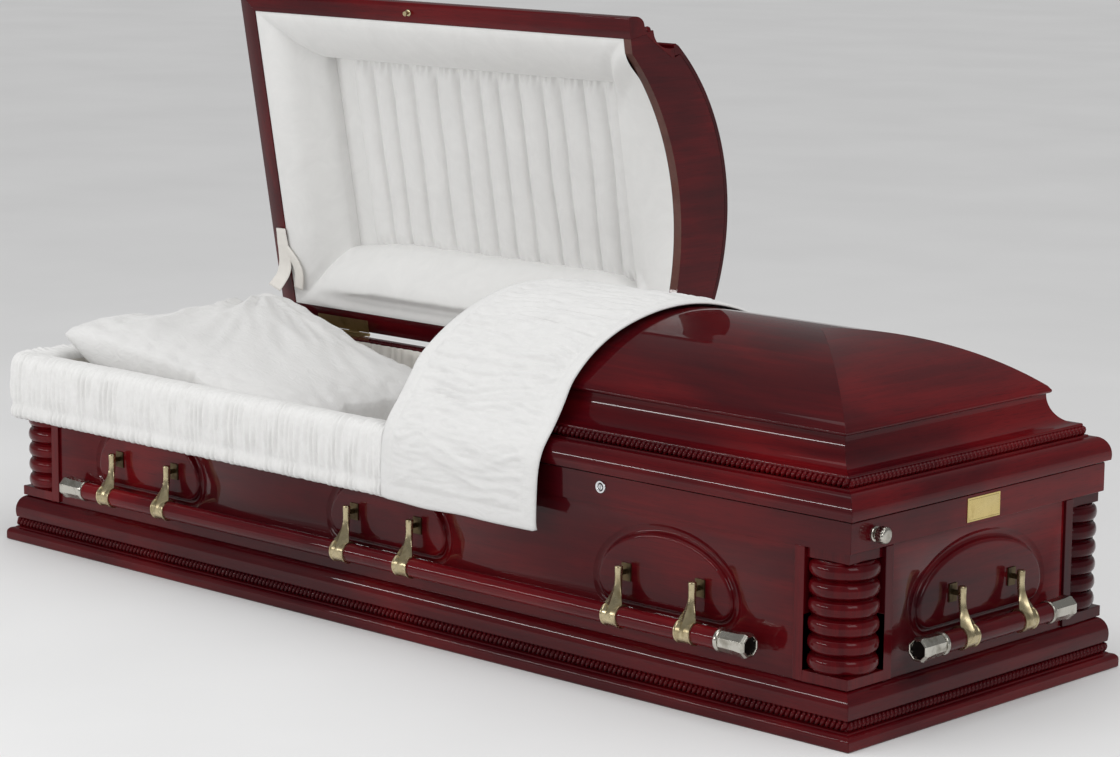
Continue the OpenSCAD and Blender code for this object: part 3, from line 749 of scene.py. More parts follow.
@dataclass
class Panels:
    """Side and end panels, each carved with raised arches inside a hollowed moat.

    Attributes:
        sizes: main sizes of the casket.
        inset: inset of the panel faces.
        thick: thickness of the panels.
        foot: height of the arches' foot over the base.
        rise: height of an arch.
        corner: radius of an arch's lower corners.
        half_long, half_end: half width of an arch on a long side and on an end.
        steps: the carving, as (distance outside the arch's outline, inset), from the moat's edge inwards.
    """

    sizes: Sizes
    inset: float = 0.030
    thick: float = 0.019
    foot: float = 0.062
    rise: float = 0.126
    corner: float = 0.034
    half_long: float = 0.146
    half_end: float = 0.168
    steps: Outline = (
        (0.0165, 0.0300), (0.0150, 0.0308), (0.0125, 0.0324), (0.0095, 0.0338), (0.0060, 0.0344),
        (0.0030, 0.0338), (0.0010, 0.0322), (0.0000, 0.0300), (-0.0004, 0.0282), (-0.0014, 0.0264),
        (-0.0030, 0.0250), (-0.0052, 0.0242), (-0.0080, 0.0240))

    def arch(self, middle: float, half: float, grow: float) -> list:
        """An arch's outline.

        Args:
            middle: where along the side it stands.
            half: half its width.
            grow: how far the outline is moved outwards.

        Returns:
            Its points as (along, height).
        """
        bottom, radius = self.sizes.base_h + self.foot + self.corner, self.corner + grow
        side = half - self.corner
        top = arc(middle, bottom, half + grow, self.rise - self.corner + grow, 0, 180, 44)
        return (arc(middle + side, bottom, radius, radius, -90, 0, 8)[:-1] + top
                + arc(middle - side, bottom, radius, radius, 180, 270, 8)[1:])

    def build(self) -> None:
        """Makes the four panels."""
        for side in Side:
            node = f"panel_{side.label}"
            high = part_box(node)[1]
            half = high.x if side.long else high.y
            bench = Bench()
            floor, top = self.sizes.base_h, self.sizes.rail_z
            corners = [(-half, floor), (half, floor), (half, top), (-half, top)]
            rim = bench.loop((x, self.inset, z) for x, z in corners)
            holes = []
            for middle, width in self.places(side):
                edges = [bench.loop((x, inset, z) for x, z in self.arch(middle, width, grow))
                         for grow, inset in self.steps]
                for a, b in zip(edges, edges[1:]):
                    bmesh.ops.bridge_loops(bench.bm, edges=a + b)
                bmesh.ops.contextual_create(bench.bm, geom=edges[-1])
                holes += edges[0]
            bmesh.ops.triangle_fill(bench.bm, edges=rim + holes, use_beauty=True)
            grown = bmesh.ops.extrude_edge_only(bench.bm, edges=rim)["geom"]
            back = [v for v in grown if isinstance(v, bmesh.types.BMVert)]
            bmesh.ops.translate(bench.bm, vec=(0, self.thick, 0), verts=back)
            bmesh.ops.contextual_create(bench.bm, geom=[g for g in grown if isinstance(g, bmesh.types.BMEdge)
                                                         and all(v in back for v in g.verts)])
            bench.finish(f"{node}_visual", Finish.wood(side), "casket", [node], place=self.sizes.place(side))

    def places(self, side: Side) -> list[tuple[float, float]]:
        """Middle and half width of each arch on a side."""
        arms = Handles(self.sizes).places(side)
        middles = [(a + b) / 2 for a, b in zip(arms[::2], arms[1::2])]
        return [(m, self.half_long if side.long else self.half_end) for m in middles]


@dataclass
class Corners:
    """Corner posts with their ring-turned columns, and the top rails between them.

    Attributes:
        sizes: main sizes of the casket.
        block, cap: inset of the block under a column and of the cap over it.
        block_h: height of block and cap.
        niche, stile: how far from the corner the niche and the stile beside it reach.
        wall, back: inset of the outer and inner faces of the boards behind the niche.
        axis: inset of a column's axis.
        radius, groove: largest radius of the rings and depth of the grooves between them.
        rings: number of rings.
        rail, rail_w: inset and width of the top rail.
    """

    sizes: Sizes
    block: float = 0.025
    cap: float = 0.032
    block_h: float = 0.018
    niche: float = 0.116
    stile: float = 0.136
    wall: float = 0.049
    back: float = 0.130
    axis: float = 0.074
    radius: float = 0.057
    groove: float = 0.0085
    rings: int = 6
    rail: float = 0.0255
    rail_w: float = 0.0365

    def corner(self, side: Side) -> tuple[str, Matrix]:
        """Finds the corner at a side's right-hand end.

        Args:
            side: the side.

        Returns:
            The corner's name, and its transform from the front foot corner.
        """
        flip_x, flip_y = {
            Side.FRONT: (1, 1), Side.FOOT: (1, -1), Side.REAR: (-1, -1), Side.HEAD: (-1, 1)}[side]
        name = f"{'front' if flip_y > 0 else 'rear'}_{'foot' if flip_x > 0 else 'head'}"
        place = Matrix.Diagonal((flip_x, flip_y, 1, 1)) @ Matrix.Translation(
            (self.sizes.half_l, -self.sizes.half_w, 0))
        return name, place

    def ring_outline(self) -> Outline:
        """Half outline of a column: flattened rings with narrow hollows between them.

        Returns:
            Its points as (radius, height).
        """
        low, high = self.sizes.base_h + self.block_h, self.sizes.rail_z - self.block_h
        pitch = (high - low) / self.rings
        points = [(0.0, low)]
        for k in range(self.rings):
            start = low + k * pitch
            hollow = 0.13 * pitch
            points += [(self.radius - self.groove + hollow * 0.75, start),
                       (self.radius - self.groove, start + 0.02 * pitch),
                       (self.radius - self.groove + 0.0012, start + 0.10 * pitch)]
            points += [(self.radius - 0.0062 + x, start + pitch / 2 + y) for x, y in
                       arc(0, 0, 0.0062, 0.385 * pitch, -82, 82, 12)]
            points += [(self.radius - self.groove + 0.0012, start + 0.90 * pitch),
                       (self.radius - self.groove, start + 0.98 * pitch)]
        return points + [(0.0, high)]

    def build(self) -> None:
        """Makes the four posts, columns and rails."""
        s = self.sizes
        for side in Side:
            name, place = self.corner(side)
            bench = Bench()
            plan = [(-self.niche, self.niche), (-self.niche, self.block), (-self.stile, self.block),
                    (-self.stile, self.wall), (-self.back, self.wall), (-self.back, self.back),
                    (-self.wall, self.back), (-self.wall, self.stile), (-self.block, self.stile),
                    (-self.block, self.niche)]
            bench.loft([[(x, y, z) for x, y in plan] for z in (s.base_h, s.rail_z)])
            for face, low, high in ((self.block, s.base_h, s.base_h + self.block_h),
                                    (self.cap, s.rail_z - self.block_h, s.rail_z)):
                bench.box((-self.niche, face, low), (-face, self.niche, high))
            bench.finish(f"corner_post_{name}_visual", Finish.WOOD_Z, "casket", [f"corner_post_{name}"],
                         bevel=0.0009, place=place)
            bench = Bench()
            bench.turned(self.ring_outline(), steps=96)
            bmesh.ops.remove_doubles(bench.bm, verts=bench.bm.verts, dist=1e-6)
            cut = self.niche - self.axis
            bench.cut((-cut, 0, 0), (-1, 0, 0))
            bench.cut((0, cut, 0), (0, 1, 0))
            bench.finish(f"corner_column_{name}_visual", Finish.WOOD_Z, "casket", [f"corner_column_{name}"],
                         sharp=50, place=place @ Matrix.Translation((-self.axis, self.axis, 0)))
            if side is Side.FRONT:
                repaint("top_rail_front", Finish.WOOD_X)
                continue
            run = s.run(side)
            inner = self.rail + self.rail_w
            outline = [(self.rail, s.rail_z), (self.rail, s.rail_top),
                       (inner, s.rail_top), (inner, s.rail_z)]
            bench = Bench()
            bench.length(outline, lambda i: i - run, lambda i: run - i, s.place(side))
            bench.finish(f"top_rail_{side.label}_visual", Finish.wood(side), "casket",
                         [f"top_rail_{side.label}"], bevel=0.0014)


@dataclass
class Lid:
    """One lid: mouldings with a rope, a hipped barrel crown and the header board at its cut end.

    Attributes:
        sizes: main sizes of the casket.
        end: the casket's end that the lid covers.
        rim, rim_w, rim_h: inset, width and height of the rounded rim.
        rope_inset, rope_up: axis of the rope, over the lid's underside.
        crown, lip_h, rise, thick: the crown's inset, lip, rise and thickness.
        crown_up: height of the crown's foot.
        ledge: width of the crown's flat underside.
        arch, arch_half: rise and half width of the header's arch.
        header: thickness of the header board.
        bead: half sizes of a bead of the rope.
        pitch: distance between beads.
    """

    sizes: Sizes
    end: Side
    rim: float = 0.0173
    rim_w: float = 0.040
    rim_h: float = 0.042
    rope_inset: float = 0.0518
    rope_up: float = 0.052
    crown: float = 0.092
    crown_up: float = 0.115
    lip_h: float = 0.008
    rise: float = 0.102
    thick: float = 0.009
    ledge: float = 0.022
    arch: float = 0.088
    arch_half: float = 0.2847
    header: float = 0.019
    bead: Vector = field(default_factory=lambda: Vector((0.0046, 0.0074, 0.0082)))
    pitch: float = 0.0102

    @property
    def body(self) -> str:
        """The body that the lid is."""
        return f"{self.end.label}_lid"

    @property
    def open(self) -> bool:
        """Whether this lid stands open."""
        return self.end is Side.HEAD

    @property
    def place(self) -> Matrix:
        """The turn from the closed place to where the lid is."""
        return self.sizes.opened if self.open else Matrix()

    @property
    def crown_half(self) -> float:
        """Half the width over the crown's lip."""
        return self.sizes.half_w - self.crown

    @property
    def radius(self) -> float:
        """Radius of the crown."""
        return (self.crown_half ** 2 + self.rise ** 2) / (2 * self.rise)

    def moulding_outline(self) -> Outline:
        """Section of the moulding from its underside over rim, rope groove and hollow to the crown.

        Returns:
            Its points as (inset, height).
        """
        z = self.sizes.lid_z
        hollow = 0.053
        foot = self.rope_up + 0.010
        inner = self.rim + self.rim_w
        points = [
            (self.rim + 0.0025, 0.0), *arc(self.rim + 0.022, 0.009, 0.022, 0.032, 195, 90, 16),
            (0.0462, self.rim_h - 0.0006), (0.0470, self.rim_h + 0.002),
            (self.rope_inset + 0.0018, 0.0455), (self.rope_inset + 0.0018, foot - 0.0025),
            (0.0535, foot - 0.001), (0.0545, foot + 0.0015),
            (0.0583, foot + 0.0018),
            *[(0.0583 + 0.0407 * math.sin(a), foot + hollow - 0.0512 * math.cos(a))
              for a in (math.radians(6 + 84 * i / 14) for i in range(15))],
            (0.118, foot + hollow), (0.118, foot + hollow - 0.006), (inner + 0.020, foot),
            (inner, self.rim_h), (inner, 0.0)]
        return [(inset, z + up) for inset, up in points]

    def crown_arc(self, inside: float, half: float) -> list:
        """Half section of the crown, from its edge to the top.

        Args:
            inside: how far inside the outer face it runs.
            half: half the width that it starts from.

        Returns:
            Its points as (distance from the middle, height).
        """
        centre = self.sizes.lid_z + self.crown_up + self.lip_h + self.rise - self.radius
        radius = self.radius - inside
        start = math.degrees(math.acos(half / radius))
        return arc(0.0, centre, radius, radius, start, 90, CROWN_STEPS)

    def crown_outline(self) -> list:
        """Closed half section of the crown board: rolled lip, outer arc, then the inner arc back.

        Returns:
            Its points as (distance from the middle, height).
        """
        z = self.sizes.lid_z + self.crown_up
        lip = arc(self.crown_half - 0.0042, z + 0.0042, 0.0042, 0.0042, -90, 55, 8)
        inner = self.crown_arc(self.thick, self.crown_half - self.ledge)
        return [(self.crown_half - self.ledge, z), *lip, *self.crown_arc(0.0, self.crown_half - 0.005),
                *reversed(inner)]

    def ends(self) -> tuple[Reach, Reach]:
        """Finds a long board's two ends, mitred at the casket's end and square at the cut.

        Returns:
            Where its left and its right end are, as functions of the inset.
        """
        run, half = self.sizes.half_l, self.sizes.half_w
        cut = self.sizes.head_cut if self.open else self.sizes.foot_cut

        def mitre(inset: float) -> float:
            """Distance of the mitre from the middle at an inset."""
            return run - min(inset, 2 * half - inset)

        if self.open:
            return (lambda i: -mitre(i)), (lambda i: cut)
        return (lambda i: cut), mitre

    def build(self) -> None:
        """Makes the lid's woodwork."""
        self.mouldings()
        self.crown_boards()
        self.header_board()

    def sides(self) -> list[tuple[Side, Reach, Reach]]:
        """The lid's three sides with the ends of their boards, each in the front's frame.

        Returns:
            Each side with its board's left and right end.
        """
        left, right = self.ends()
        half = self.sizes.half_w
        return [
            (Side.FRONT, left, right),
            (Side.REAR, lambda i: -right(i), lambda i: -left(i)),
            (self.end, lambda i: i - half, lambda i: half - i)]

    def mouldings(self) -> None:
        """Makes the mitred mouldings and their ropes."""
        node = f"{self.body}_moulding"
        for side, left, right in self.sides():
            place = self.place @ self.sizes.place(side)
            wood = Finish.wood(side, self.open)
            bench = Bench()
            bench.length(self.moulding_outline(), left, right, place)
            bench.finish(f"{node}_{side.label}", wood, self.body, [node], bevel=0.0006)
            bench = Bench()
            ends = left(self.rope_inset) + 0.001, right(self.rope_inset) - 0.001
            bench.beads(self.rope_inset, self.sizes.lid_z + self.rope_up, self.bead, ends, self.pitch, place)
            bench.finish(f"{self.body}_rope_{side.label}", wood, self.body, sharp=90)

    def crown_boards(self) -> None:
        """Makes the barrel over the lid's length and the hipped end."""
        node = f"{self.body}_crown"
        half, section = self.sizes.half_w, self.crown_outline()
        inner = section[-(CROWN_STEPS + 1):]
        outer = section[:-len(inner)]
        near = [(half - d, z) for d, z in outer] + [(half + d, z) for d, z in reversed(outer[:-1])]
        under = [(half + d, z) for d, z in reversed(inner)] + [(half - d, z) for d, z in inner[1:]]
        left, right = self.ends()
        bench = Bench()
        bench.length(near + under, left, right, self.place @ self.sizes.place(Side.FRONT))
        bench.finish(f"{node}_barrel", Finish.WOOD_X, self.body, [node], sharp=25, bevel=0.0005)
        bench = Bench()
        bench.length([(half - d, z) for d, z in section], lambda i: i - half, lambda i: half - i,
                     self.place @ self.sizes.place(self.end))
        bench.finish(f"{node}_hip", Finish.wood(self.end, self.open), self.body, [node], sharp=25,
                     bevel=0.0005)

    def header_board(self) -> None:
        """Makes the board that closes the cut end over a low arch, with a paler sawn edge."""
        z, half, gap = self.sizes.lid_z, self.sizes.half_w, 0.0002
        inner = self.rim + self.rim_w
        shell = [(half - inner, z), (half - inner, z + self.rim_h), (half - inner - 0.020, z + 0.062),
                 (self.crown_half - self.ledge - 0.004, z + self.crown_up - 0.006),
                 *self.crown_arc(self.thick + gap, self.crown_half - self.ledge - gap)]
        radius = (self.arch_half ** 2 + self.arch ** 2) / (2 * self.arch)
        lean = math.degrees(math.asin(self.arch_half / radius))
        arch = arc(0.0, z + self.arch - radius, radius, radius, 90 - lean, 90 + lean, 40)
        outline = [(d, up) for d, up in shell] + [(-d, up) for d, up in reversed(shell[:-1])]
        outline += list(reversed(arch))
        cut = self.sizes.head_cut if self.open else self.sizes.foot_cut
        back = cut - self.header if self.open else cut + self.header
        bench = Bench()
        bench.length([(half + d, up) for d, up in outline], lambda i: min(cut, back),
                     lambda i: max(cut, back), self.sizes.place(Side.FRONT))
        piece = bench.finish(f"{self.body}_header_visual", Finish.WOOD_Y, self.body,
                             [f"{self.body}_header"], sharp=25, bevel=0.0008, place=self.place)
        piece.data.materials.append(Finish.EDGE.material())
        down = self.place.to_3x3() @ Vector((0, 0, -1))
        for face in piece.data.polygons:
            if face.normal.dot(down) > 0.7:
                face.material_index = 1


# ---------------------------------------------------------------- fittings


@dataclass
class Handles:
    """Swing-bar handles: wooden bars in ribbed arms that hang from fixed lugs, with faceted tips.

    Attributes:
        sizes: main sizes of the casket.
        pitch: distance between the pairs of arms on a long side.
        spread: half the distance between the arms of a pair.
        bar_r: radius of a bar.
        axis, axis_z: inset and height of a bar's axis.
        band_w, band: width and outer radius of the band round the bar.
        stations: an arm's cross-sections, as (height, half width, depth before and behind its middle,
            inset of its middle, share of the ridge in its front).
        tip: outline of a tip's facets, as (circumradius, distance from the bar's end).
        facets: number of a tip's facets.
    """

    sizes: Sizes
    pitch: float = 0.652
    spread: float = 0.080
    bar_r: float = 0.017
    axis: float = -0.004
    axis_z: float = 0.136
    band_w: float = 0.034
    band: float = 0.0194
    stations: Sequence[tuple[float, ...]] = (
        (0.2176, 0.0050, 0.0050, 0.0050, 0.0040, 0.0), (0.2173, 0.0061, 0.0061, 0.0061, 0.0040, 0.0),
        (0.2163, 0.0069, 0.0069, 0.0069, 0.0040, 0.0), (0.2140, 0.0070, 0.0070, 0.0070, 0.0040, 0.0),
        (0.2050, 0.0066, 0.0066, 0.0066, 0.0040, 0.0), (0.1950, 0.0064, 0.0064, 0.0064, 0.0038, 0.0),
        (0.1880, 0.0068, 0.0068, 0.0063, 0.0030, 0.2), (0.1810, 0.0080, 0.0075, 0.0062, 0.0014, 0.5),
        (0.1740, 0.0100, 0.0083, 0.0060, -0.0008, 0.8), (0.1680, 0.0124, 0.0090, 0.0060, -0.0030, 1.0),
        (0.1630, 0.0148, 0.0094, 0.0060, -0.0050, 1.0), (0.1590, 0.0170, 0.0096, 0.0058, -0.0068, 1.0),
        (0.1562, 0.0184, 0.0096, 0.0056, -0.0084, 1.0), (0.1540, 0.0172, 0.0094, 0.0050, -0.0100, 1.0),
        (0.1500, 0.0160, 0.0088, 0.0040, -0.0130, 1.0), (0.1440, 0.0150, 0.0068, 0.0040, -0.0172, 1.0),
        (0.1370, 0.0142, 0.0030, 0.0030, -0.0212, 0.8), (0.1290, 0.0134, 0.0020, 0.0030, -0.0218, 0.4))
    tip: Outline = (
        (0.0176, 0.0065), (0.0186, 0.0090), (0.0194, 0.0420), (0.0206, 0.0500), (0.0212, 0.0530),
        (0.0212, 0.0580), (0.0196, 0.0625), (0.0168, 0.0640), (0.0156, 0.0625), (0.0150, 0.0585))
    facets: int = 8

    def places(self, side: Side) -> list[float]:
        """Where along a side the arms are."""
        middles = (-self.pitch, 0.0, self.pitch) if side.long else (0.0,)
        return [m + s * self.spread for m in middles for s in (-1, 1)]

    def section(self, x: float, station: Sequence[float]) -> list[Vector]:
        """One cross-section of an arm, whose front rises to a ridge between hollow flanks.

        Args:
            x: where along the side the arm is.
            station: the section's row in stations.

        Returns:
            Its points.
        """
        z, half, front, behind, middle, ridge = station
        points, count = [], 24
        for step in range(count):
            c, s = math.cos(math.tau * step / count), math.sin(math.tau * step / count)
            sharp = 1 - abs(c) ** 0.72
            depth = -front * ((1 - ridge) * -s + ridge * sharp) if s < 0 else behind * s
            points.append(Vector((x + half * c, middle + depth, z)))
        return points

    def build(self) -> None:
        """Makes the four handles, and paints their lugs near-black as painted shade behind the arms' tops.
        """
        repaint("handle_lugs", Finish.LUG)
        for side in Side:
            place, body, stem = self.sizes.place(side), f"{side.label}_handle", f"handle_{side.label}"
            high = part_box(f"{stem}_bar")[1]
            half = high.x if side.long else high.y
            axis = Matrix.Translation((0, self.axis, self.axis_z))
            lying = place @ axis @ Matrix.Rotation(math.pi / 2, 4, "Y")
            bench = Bench()
            bench.turned([(0, -half), (self.bar_r, -half), (self.bar_r, half), (0, half)], lying, 64)
            bench.finish(f"{stem}_bar_visual", Finish.BAR_X if side.long else Finish.BAR_Y, body,
                         [f"{stem}_bar"])
            bench = Bench()
            for x in self.places(side):
                self.arm(bench, x, place, lying)
            bench.finish(f"{stem}_arms_visual", Finish.BRASS, body, [f"{stem}_arms"], sharp=42)
            self.tips(side, half)

    def arm(self, bench: Bench, x: float, place: Matrix, lying: Matrix) -> None:
        """Adds one arm: the ribbed post and the band round the bar, with a raised rim at each edge.

        Args:
            bench: the mesh that it is added to.
            x: where along the side the arm is.
            place: the side's transform.
            lying: transform of a piece turned about the bar's axis.
        """
        bench.loft([[place @ p for p in self.section(x, station)] for station in self.stations])
        w, r = self.band_w / 2, self.band
        rim = [(r - 0.0030, 0), (r - 0.0004, 0), (r + 0.0006, 0.0005), (r + 0.0010, 0.0017),
               (r + 0.0005, 0.0030), (r - 0.0006, 0.0038)]
        outline = [(a, b - w) for a, b in rim] + [(a, w - b) for a, b in reversed(rim)]
        bench.turned(outline, lying @ Matrix.Translation((0, 0, x)), 48, ring=True)

    def tips(self, side: Side, half: float) -> None:
        """Makes the two faceted tips of a bar, each with a collar and a near-black disc on its closed end:
        painted shade that stands for a hollow end.

        Args:
            side: the bar's side.
            half: half the bar's length.
        """
        metal, hollow, facets = Bench(), Bench(), self.facets
        for way in (-1, 1):
            turn = Matrix.Rotation(way * math.pi / 2, 4, "Y") @ Matrix.Rotation(math.pi / facets, 4, "Z")
            end = Matrix.Translation((way * half, self.axis, self.axis_z))
            place = self.sizes.place(side) @ end @ turn
            collar = [(0.0165, -0.001), (0.0182, -0.001), (0.0196, 0.0004), (0.0200, 0.0026),
                      (0.0195, 0.0050), (0.0180, 0.0066), (0.0165, 0.0066)]
            metal.turned(collar, place, 40, ring=True)
            corners = [math.tau * k / facets for k in range(facets)]
            rings = [[place @ Vector((r * math.cos(a), r * math.sin(a), z)) for a in corners]
                     for r, z in self.tip]
            metal.loft(rings)
            # A near-black disc on the tip's closed end: painted shade standing for a hollow end.
            hollow.turned([(0, 0.0590), (0.0136, 0.0590), (0.0128, 0.0605), (0.0, 0.0598)], place, 24)
        stem = f"handle_{side.label}"
        metal.finish(f"{stem}_tips_visual", Finish.SILVER, f"{side.label}_handle", [f"{stem}_tips"],
                     sharp=18, bevel=0.0005)
        hollow.finish(f"{stem}_tip_hollows", Finish.DARK, f"{side.label}_handle")


@dataclass
class Fittings:
    """Lock knob, keyhole, bare name plate, catch and hinges.

    Attributes:
        sizes: main sizes of the casket.
    """

    sizes: Sizes

    def middle(self, node: str) -> Vector:
        """The middle of a node's box."""
        low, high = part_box(node)
        return (low + high) / 2

    def build(self) -> None:
        """Makes every fitting."""
        self.knob()
        self.keyhole()
        self.plate()
        self.catch()
        for node in ("hinge_body_leaves", "hinge_head_lid_leaves", "hinge_foot_lid_leaves"):
            repaint(node, Finish.HINGE)

    def knob(self) -> None:
        """Makes the fluted lock knob on the foot rail."""
        low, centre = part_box("lock_knob")[0], self.middle("lock_knob")
        place = Matrix.Translation((low.x, centre.y, centre.z)) @ Matrix.Rotation(math.pi / 2, 4, "Y")
        bench = Bench()
        bench.turned([(0, 0), (0.0125, 0), (0.0125, 0.002), (0.0110, 0.0035), (0.0085, 0.0040),
                      (0.0085, 0.009), (0, 0.009)], place, 40)
        outline = [(0.0105, 0.0080), (0.0130, 0.0086), (0.0139, 0.0100), (0.0139, 0.0205), (0.0132, 0.0226),
                   (0.0112, 0.0240), (0.0085, 0.0246), (0.0050, 0.0249), (0.0015, 0.0250)]
        flutes, count = 20, 120
        angles = [math.tau * k / count for k in range(count)]
        rings = []
        for radius, z in outline:
            depth = 0.0007 if radius > 0.0125 else 0.0
            radii = [radius - depth * abs(math.sin(flutes * a / 2)) for a in angles]
            rings.append([place @ Vector((r * math.cos(a), r * math.sin(a), z))
                          for r, a in zip(radii, angles)])
        bench.loft(rings)
        bench.finish("lock_knob_visual", Finish.SILVER, "casket", ["lock_knob"], sharp=40)

    def keyhole(self) -> None:
        """Makes the keyhole's bright ring, and a near-black disc and slot inside it: painted shade that
        stands for the hole.
        """
        high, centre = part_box("keyhole")[1], self.middle("keyhole")
        place = Matrix.Translation((centre.x, high.y, centre.z)) @ Matrix.Rotation(math.pi / 2, 4, "X")
        bench = Bench()
        bench.turned([(0.0062, 0.0), (0.0110, 0.0), (0.0110, 0.0014), (0.0102, 0.0027), (0.0088, 0.0030),
                      (0.0072, 0.0026), (0.0062, 0.0012)], place, 48, ring=True)
        bench.turned([(0, 0.0), (0.0046, 0.0), (0.0046, 0.0018), (0.0038, 0.0024), (0, 0.0024)], place, 32)
        bench.finish("keyhole_visual", Finish.CHROME, "casket", ["keyhole"])
        # Near-black disc and slot: painted shade standing for the keyhole's hole.
        bench = Bench()
        bench.turned([(0, 0.0), (0.0066, 0.0), (0.0066, 0.0009), (0, 0.0009)], place, 32)
        bench.box((-0.0007, -0.0030, 0.0020), (0.0007, 0.0030, 0.0026), place)
        bench.finish("keyhole_painted_shade", Finish.DARK, "casket")

    def plate(self) -> None:
        """Makes the bare name plate, with a line engraved round its edge."""
        low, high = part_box("name_plate")
        bench = Bench()
        bench.box(low, high)
        bench.bm.faces.ensure_lookup_table()
        front = max(bench.bm.faces, key=lambda f: f.calc_center_median().x)
        for width, depth in ((0.0025, 0.0), (0.0006, -0.0003), (0.0006, 0.0003)):
            bmesh.ops.inset_region(
                bench.bm, faces=[front], thickness=width, depth=depth, use_even_offset=True)
        bench.finish("name_plate_visual", Finish.PLATE, "casket", ["name_plate"], bevel=0.0003)

    def catch(self) -> None:
        """Makes the round catch on the head lid's rim."""
        closed = self.sizes.opened.inverted()
        node = frame["nodes"]["head_lid_catch"]
        corners = [closed @ v.co for v in node.data.vertices]
        centre = sum(corners, Vector()) / len(corners)
        place = self.sizes.opened @ Matrix.Translation((centre.x, centre.y, self.sizes.lid_z))
        bench = Bench()
        bench.turned([(0, 0), (0.0070, 0), (0.0070, -0.0012), (0.0062, -0.0019), (0.0036, -0.0022),
                      (0.0034, -0.0070), (0.0048, -0.0084), (0.0050, -0.0104), (0.0040, -0.0118),
                      (0, -0.0120)], place, 32)
        bench.finish("head_lid_catch_visual", Finish.BRASS, "head_lid", ["head_lid_catch"])


# ---------------------------------------------------------------- soft goods


@dataclass
class Skirt:
    """The shirred skirt over the open end's rails, in one piece round the head corner.

    Attributes:
        sizes: main sizes of the casket.
        start, stop: where it starts on the front and ends on the head side.
        corner: radius of the corner, outside.
        section: its section as (inset, height), from inside the rail over it and down to the tucked hem.
        gather, space: depth of the gathers and distance between them.
        seam_z: height of the seam over the hem.
    """

    sizes: Sizes
    start: float = 0.018
    stop: float = 0.308
    corner: float = 0.045
    section: Outline = (
        (0.0645, 0.3300), (0.0645, 0.3560), (0.0580, 0.3700), (0.0300, 0.3755), (0.0100, 0.3720),
        (0.0010, 0.3620), (-0.0032, 0.3440), (-0.0044, 0.3100), (-0.0030, 0.2860), (0.0006, 0.2755),
        (-0.0030, 0.2660), (-0.0030, 0.2540), (0.0030, 0.2465), (0.0100, 0.2500))
    gather: float = 0.0042
    space: float = 0.0155
    seam_z: float = 0.2755

    def point(self, run: float, inset: float, height: float) -> Vector:
        """Finds a point of the skirt.

        Args:
            run: distance along the skirt, from its front end.
            inset, height: place in its section.

        Returns:
            The point.
        """
        s = self.sizes
        radius = max(self.corner - inset, 0.006)
        x, y = -(s.half_l - inset - radius), -(s.half_w - inset - radius)
        front, bend = self.start + s.half_l - self.corner, self.corner * math.pi / 2
        if run < front:
            return Vector((self.start + (x - self.start) * run / front, y - radius, height))
        if run < front + bend:
            turn = (run - front) / self.corner
            return Vector((x - radius * math.sin(turn), y - radius * math.cos(turn), height))
        share = (run - front - bend) / (self.stop + s.half_w - self.corner)
        return Vector((x - radius, y + (self.stop - y) * share, height))

    def build(self) -> None:
        """Makes the skirt."""
        s = self.sizes
        line = softened(self.section, 3)
        length = (self.start + s.half_l - self.corner + self.corner * math.pi / 2
                  + self.stop + s.half_w - self.corner)

        def surface(u: float, v: float) -> Vector:
            """The skirt's point at a share of its length and of its section.

            Args:
                u, v: the two shares.

            Returns:
                The point.
            """
            run = u * length
            inset, height = along(line, v)
            outer = smooth((0.045 - inset) / 0.03)
            uneven = 0.9 * ripple(run * 24, 3.1) + 0.25 * ripple(run * 30, v * 3, 1.7)
            phase = math.tau * (run / self.space + uneven)
            depth = self.gather * (0.55 + 0.75 * ripple(run * 45, v * 4.5, 8.3))
            fold = depth * math.sin(phase) + 0.0016 * ripple(run * 90, v * 9, 5.0)
            pinch = math.exp(-((height - self.seam_z) / 0.005) ** 2) if inset < 0.006 else 0.0
            fold = fold * (1 - 0.7 * pinch) * (0.35 + 0.65 * outer)
            lift = fold * (1 - smooth((0.366 - height) / 0.016))
            side = fold * smooth((0.370 - height) / 0.016)
            sway = 0.0022 * ripple(run * 3.1, v * 1.5, 2.2)
            return self.point(run, min(inset - side - sway * outer, 0.0646), height + lift)

        bench = Bench()
        bench.sheet(860, 40, surface, (length, 0.24))
        piece = bench.finish("skirt", Finish.SHIRRED, "casket", ["skirt_front", "skirt_head"], sharp=180,
                             closed=False)
        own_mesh(piece)


